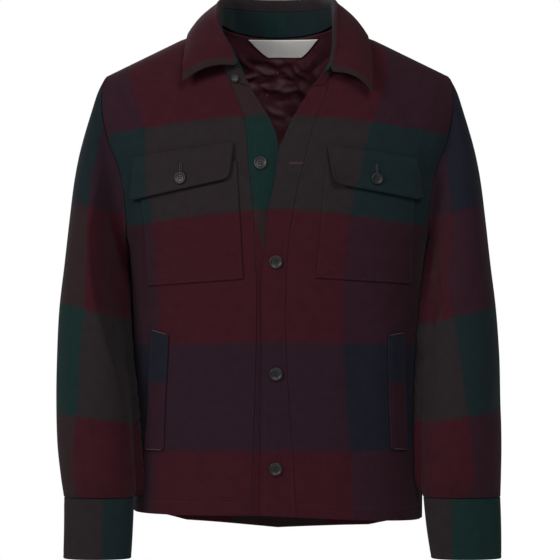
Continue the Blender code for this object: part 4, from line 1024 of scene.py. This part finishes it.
def trimPiece(name, node, x, z, lift, thickness, groove, warp, weft, side, inset, sides):
    # lays a patch on the creased front, rounds its edges and records its stitch line
    base, normals = onBody(x, z, lift + thickness / 2)
    turned = gridNormals(base, like=normals)
    halfWall = rounded(edgeDistance(base), thickness, 1.6, groove)
    wool = brushedWool("brushedWool_" + node, warp, weft)
    addCloth(name, node, base, turned, halfWall, frontFlat(x, z, side), wool,
             restsOn=["frontPanel_right" if side < 0 else "frontPanel_left"])
    outside = base + turned * (halfWall - stitch["seat"])
    down, across = arcs(base)[:, 5], arcs(base, 1)[5]
    top, bottom, start, end = (np.argmin(np.abs(way - inset))
                               for way in (down, down[-1] - down, across, across[-1] - across))
    runs = {"top": (top, slice(start, end + 1)), "bottom": (bottom, slice(start, end + 1)),
            "start": (slice(top, bottom + 1), start), "end": (slice(top, bottom + 1), end)}
    for key in sides:
        stitchRuns.append((outside[runs[key]], turned[runs[key]]))


def makePocket(name, side):
    # one layer of cloth, stitched down along three edges
    x, z = patch(trim["pocket"][name], spread(24, 160), spread(22, 130))
    trimPiece("chestPocket_" + name, "chest_pocket_" + name, x, z, trim["lift"], trim["pocketCloth"], None,
              warps[name], wefts["body"], side, 3, ("start", "end", "bottom"))


def makeFlap(name, side):
    # lifted more and more off the pocket by a table of drops, with round lower corners
    down, across = spread(20, 60), spread(26, 130)
    x, z = patch(trim["flap"][name], down, across)
    rise = cornerRise(across, math.dist(trim["flap"][name][2], trim["flap"][name][3]), trim["flapCorner"])
    z = z + rise[None] * np.clip((down - .62) / .38, 0, 1)[:, None]
    lift = smoothCurve(np.column_stack((trim["flapDrops"], trim["flapLifts"])), down)
    lift = lift + trim["curl"][name] * down[:, None] * np.clip(1 - across * 4, 0, 1)[None] ** 2
    trimPiece("pocketFlap_" + name, "flap_" + name, x, z, lift, trim["flapCloth"], (5.5, .35),
              warps[name], wefts["body"], side, 5.5, ("start", "end", "bottom", "top"))


def makeWelt(name, side):
    # folded cloth over the hand pocket's slanted opening, stitched at both ends of its width
    x, z = patch(trim["welt"][name], spread(24, 160), spread(6, 26))
    trimPiece("pocketWelt_" + name, "welt_" + name, x, z, trim["lift"], trim["weltCloth"], (4, .25),
              trim["weltWarp"], trim["weltWeft"], side, 4, ("start", "end"))


def makeTrim():
    for name, side in (("right", -1), ("left", 1)):
        for make in (makePocket, makeFlap, makeWelt):
            make(name, side)
    print("pockets, flaps and welts made")


# neck label: a bare woven satin tape, its ends folded under

label = {"corners": ((-44, 6), (60, 6), (38, -18), (-17, -18)), "cloth": 1.0, "gap": 1.4, "corner": 4,
         "footWidth": 51}


def makeLabel():
    # a patch on the smooth form of the back, in front of the lining
    down, across = spread(14, 24), spread(30, 90)
    x, z = patch(label["corners"], down, across)
    z = z + cornerRise(across, label["footWidth"], label["corner"])[None] * (down ** 6)[:, None]
    points = np.stack((x, bodyDepth(x, z, 1), z), -1)
    normals = bodyNormal(points)
    depth = lining["gap"] + lining["cloth"] + label["gap"] + label["cloth"] / 2
    middle = points - normals * depth
    satin = plainFinish("satinTape", "#f6f4f0", "#eeebe6", .8,
                        {"Roughness": .45, "Specular IOR Level": .5, "Sheen Weight": .1})
    addCloth("neckTape", "neck_label", middle, normals, rounded(edgeDistance(middle), label["cloth"], .6),
             bodyFlat(x, z, 1, 0.0), satin, slot="label", restsOn=["quiltedLining"])
    print("label made")


# buttons: turned discs with a raised rim, a dished middle and four holes

button = {
    "front": ((-23.4, -183.1, 0), (-2.1, -319.3, .3), (-1.8, -473.1, 1), (-2.4, -603.8, 1)),
    "flap": (("right", -131.4, -204.2), ("left", 134.5, -205)), "flapLift": 8.6, "gap": .5,
    "radius": 9.2, "flapRadius": 8.2, "neckRadius": 5.6,
    "frontHole": (26.0, -183.2), "frontHoleLength": 19, "flapHoleAt": (.3, 13.5), "flapHoleLength": 13,
    # share of the radius, height
    "profile": (
        (0, 1.75), (.45, 1.8), (.6, 1.95), (.7, 2.45), (.8, 2.8), (.9, 2.85), (.97, 2.5), (1, 1.9),
        (1, 1.1), (.95, .4), (.82, 0), (.4, 0), (0, 0)),
    "holes": 4, "holeAt": .25, "holeSize": .1, "holeDepth": 1.5,
    "faceEnd": 6,       # number of the profile's point where the face ends
}


def addSkin(name, grid, material):
    # one closed surface from a grid that is closed round; its poles are merged
    rows, columns = grid.shape[:2]
    i, j = (a.ravel() for a in np.meshgrid(np.arange(rows - 1), np.arange(columns), indexing="ij"))
    k = (j + 1) % columns
    faces = np.stack((i * columns + j, i * columns + k, (i + 1) * columns + k, (i + 1) * columns + j), 1)
    mesh = bpy.data.meshes.new(name)
    mesh.from_pydata((grid.reshape(-1, 3) * mm).tolist(), [], faces.tolist())
    shape = bmesh.new()
    shape.from_mesh(mesh)
    bmesh.ops.remove_doubles(shape, verts=shape.verts[:], dist=1e-6)
    bmesh.ops.recalc_face_normals(shape, faces=shape.faces[:])
    shape.to_mesh(mesh)
    shape.free()
    mesh.polygons.foreach_set("use_smooth", np.ones(len(mesh.polygons), bool))
    piece = place(name, mesh, material)
    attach(piece, "root")
    return piece


def sideways(normal):
    # two directions square to a normal: across and up
    across = unit(np.cross((0.0, 0.0, 1.0), normal))
    return across, np.cross(normal, across)


def makeButton(name, node, point, normal, radius, resin, thread):
    # height over (share, turn): the profile, less a soft pit at each hole
    rim = np.array(button["profile"], float)
    marks = arcs(rim * (radius, 1))
    fine = np.linspace(0, marks[-1], 56)
    share, height = (np.interp(fine, marks, rim[:, k]) for k in (0, 1))
    turns = np.linspace(0, math.tau, 64, endpoint=False)
    x, y = share[:, None] * np.cos(turns), share[:, None] * np.sin(turns)
    pit = 0
    for k in range(button["holes"]):
        angle = math.tau * (k + .5) / button["holes"]
        away = np.hypot(x - button["holeAt"] * math.cos(angle), y - button["holeAt"] * math.sin(angle))
        pit = pit + np.clip((button["holeSize"] - away) / .035, 0, 1)
    face = (fine < marks[button["faceEnd"]])[:, None]
    z = height[:, None] - pit * button["holeDepth"] * face
    across, up = sideways(normal)
    grid = point + (x * radius)[..., None] * across + (y * radius)[..., None] * up + z[..., None] * normal
    piece = addSkin(name, grid, resin)
    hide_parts(node)
    # two thread bars over the holes
    reach = button["holeAt"] * radius * .7071
    for k, offset in enumerate((-reach, reach)):
        along = np.linspace(-1, 1, 9)[:, None]
        thick = .42 * np.sqrt(np.clip(1 - along**8, 0, 1))
        wide = offset + thick * np.cos(roundTurns)
        high = 1.75 + .35 * (1 - along**2) + thick * np.sin(roundTurns)
        bar = (point + wide[..., None] * across + (along * (reach + .3) + 0 * wide)[..., None] * up
               + high[..., None] * normal)
        addSkin(name + "_thread_%d" % k, bar, thread)


def makeButtonhole(name, point, normal, length, upright, thread):
    # worked buttonhole: a stadium-shaped ridge whose height ripples with the stitches
    across, up = sideways(normal)
    if upright:
        across, up = up, across
    turns = np.linspace(0, math.tau, 160, endpoint=False)[None]
    ring = roundTurns.T
    ripple = .75 + .25 * np.abs(np.sin(turns * 34))
    u = np.sign(np.cos(turns)) * np.abs(np.cos(turns)) ** .35 * length / 2
    u = u + np.cos(ring) * .75 * np.cos(turns)
    v = np.sin(turns) * 1.1 + np.cos(ring) * .75 * np.sin(turns)
    height = np.sin(ring) * .45 * ripple + .25
    grid = point + u[..., None] * across + v[..., None] * up + height[..., None] * normal
    grid = np.concatenate((grid, grid[:1]))
    addSkin(name, grid, thread)


def makeButtons():
    # moulded polyester resin, tumbled to a satin gloss; corozo-like mottling
    resin = plainFinish("satinResin", "#1d1c1c", "#141314", 2.5, {
        "Roughness": .42, "Specular IOR Level": .3, "Coat Weight": .05, "Coat Roughness": .3, "IOR": 1.54})
    # polyester sewing threads, dull
    thread = plainFinish("buttonThread", "#211e1f", "#161414", .4, {"Roughness": .7})
    redThread = plainFinish("buttonholeThread", "#3e1921", "#2e1017", .4, {"Roughness": .7})
    for index, (x, z, lift) in enumerate(button["front"], 1):
        points = np.array([[x, bodyDepth(np.array(x), np.array(z), -1), z]])
        normal = bodyNormal(points)[0]
        point = points[0] + normal * (lift + button["gap"])
        makeButton("frontButton_%d" % index, "button_front_%d" % index, point, normal, button["radius"],
                   resin, thread)
    for side, x, z in button["flap"]:
        point, normal = onBody(np.array([float(x)]), np.array([float(z)]), button["flapLift"] + button["gap"])
        makeButton("flapButton_" + side, "button_flap_" + side, point[0], normal[0], button["flapRadius"],
                   resin, thread)
        aside, above = button["flapHoleAt"]
        point, normal = onBody(np.array([x + aside]), np.array([z + above]), button["flapLift"] + .2)
        makeButtonhole("flapButtonhole_" + side, point[0], normal[0], button["flapHoleLength"], True, thread)
    x, z = button["frontHole"]
    point, normal = onBody(np.array([x]), np.array([z]), .5)
    makeButtonhole("frontButtonhole", point[0], normal[0], button["frontHoleLength"], False, redThread)
    rows = collarForm()
    station, share = collar["neckButton"]
    normal = -gridNormals(rows)[1, station]
    point = rows[0, station] + (rows[1, station] - rows[0, station]) * share
    point = point + normal * (collar["cloth"] / 2 + button["gap"])
    makeButton("standButton", "button_neck", point, normal, button["neckRadius"], resin, thread)
    print("buttons made")


# topstitching and bar tacks

stitch = {"length": 3.0, "gap": 1.0, "radius": .32, "sink": .12, "seat": .05}


def makeStitches():
    # each stitch is a spindle of six points: two ends in the cloth and four round its middle
    thread = plainFinish("coreSpunThread", "#33202a", "#1d1218", .5, {"Roughness": .75, "Sheen Weight": .1})
    points, faces = [], []
    side = np.array(((0, 2, 3), (0, 3, 4), (0, 4, 5), (0, 5, 2), (1, 3, 2), (1, 4, 3), (1, 5, 4), (1, 2, 5)))
    total = 0
    for path, normals in stitchRuns:
        arc, length = arcs(path), stitch["length"]
        starts = np.arange(0, arc[-1] - length, length + stitch["gap"])
        a, b, normal = (np.stack([np.interp(starts + ahead, arc, values[:, k]) for k in range(3)], -1)
                        for ahead, values in ((0, path), (length, path), (length / 2, normals)))
        normal = unit(normal)
        middle, aside = (a + b) / 2, np.cross(unit(b - a), normal)
        r = stitch["radius"]
        ring = [middle + aside * r, middle + normal * r * 1.3, middle - aside * r, middle - normal * r]
        block = np.stack([a - normal * stitch["sink"], b - normal * stitch["sink"]] + ring, 1)
        points.append(block.reshape(-1, 3))
        faces.append((side[None] + (total + np.arange(len(starts)) * 6)[:, None, None]).reshape(-1, 3))
        total += len(starts) * 6
    mesh = bpy.data.meshes.new("topstitching")
    mesh.from_pydata((np.concatenate(points) * mm).tolist(), [], np.concatenate(faces).tolist())
    piece = place("topstitching", mesh, thread)
    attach(piece, "root")
    print("stitches made:", total // 6)


def makeTacks():
    # bar tacks across both ends of each welt
    tackThread = plainFinish("tackThread", "#43343a", "#33262c", .4, {"Roughness": .7})
    along = np.linspace(.12, .88, 60)[:, None]
    size = np.sqrt(np.clip(1 - (along * 2 - 1) ** 10, 0, 1)) * (.6 + .2 * np.abs(np.sin(along * 120)))
    lift = trim["lift"] + trim["weltCloth"] + .1 + size * .6 * np.sin(roundTurns)
    for name, corners in trim["welt"].items():
        for index, (a, b) in enumerate(((corners[0], corners[1]), (corners[3], corners[2]))):
            x = a[0] + (b[0] - a[0]) * along + 0 * roundTurns
            z = a[1] + (b[1] - a[1]) * along + size * np.cos(roundTurns)
            addSkin("barTack_%s_%d" % (name, index), onBody(x, z, lift)[0], tackThread)


# floor, light and camera

stage = {
    "floor": -1.45, "floorHalf": 6.0, "around": .14,        # the floor lies under a wearer's feet
    # place, aim, size, power
    "lamps": {"leftSoftbox": ((-2.1, -2.3, 1.0), (0, 0, -.35), 1.2, 60),
              "rightSoftbox": ((.9, -2.8, 1.9), (0, 0, -.2), 1.1, 50),
              "frontFill": ((.4, -4.2, 1.0), (0, 0, -.35), 1.6, 10),
              "backLight": ((-.8, 2.8, 1.2), (0, 0, -.35), 2.2, 60)},
    "camera": (.00355, -4.0, -.344), "lens": 181.1,
}


def makeFloor():
    # a square of four faces, wide enough to reach past the view
    side = np.linspace(-stage["floorHalf"], stage["floorHalf"], 3)
    x, y = np.meshgrid(side, side)
    points = np.stack((x, y, 0 * x + stage["floor"]), -1).reshape(-1, 3)
    faces = [(r * 3 + c, r * 3 + c + 1, r * 3 + c + 4, r * 3 + c + 3) for r in (0, 1) for c in (0, 1)]
    mesh = bpy.data.meshes.new("floor")
    mesh.from_pydata(points.tolist(), [], faces)
    paint = plainFinish("mattFloorPaint", "#f4f4f3", "#f1f1f0", 60, {"Roughness": .9})
    place("floor", mesh, paint)


def makeWorld():
    # white behind the garment, and a dimmer even light from all round it
    world = bpy.data.worlds.new("studio")
    bpy.context.scene.world = world
    world.use_nodes = True
    sky = world.node_tree.nodes["Background"]
    sky.inputs[0].default_value = (1, 1, 1, 1)
    seen = addNode(world, "LightPath")
    level = addNode(world, "MapRange", {3: stage["around"], 4: 1.0}, {0: seen})
    world.node_tree.links.new(level.outputs[0], sky.inputs[1])


def addObject(name, data, location):
    # an object at a place, linked to the scene
    item = bpy.data.objects.new(name, data)
    bpy.context.scene.collection.objects.link(item)
    item.location = location
    return item


def makeStage():
    makeFloor()
    makeWorld()
    for name, (spot, aim, size, power) in stage["lamps"].items():
        data = bpy.data.lights.new(name, "AREA")
        data.energy, data.size = power, size
        lamp = addObject(name, data, spot)
        lamp.rotation_euler = (Vector(aim) - Vector(spot)).to_track_quat("-Z", "Y").to_euler()
    data = bpy.data.cameras.new("camera")
    data.sensor_width, data.lens = 36, stage["lens"]
    camera = addObject("camera", data, stage["camera"])
    camera.rotation_euler = (math.pi / 2, 0, 0)
    bpy.context.scene.camera = camera
    bpy.context.scene.view_settings.view_transform = "Standard"
    print("stage made")


makeBodyPanels()
makeLining()
makePlackets()
makeCollar()
makeSleeves()
makeTrim()
makeLabel()
makeButtons()
makeStitches()
makeTacks()
makeStage()
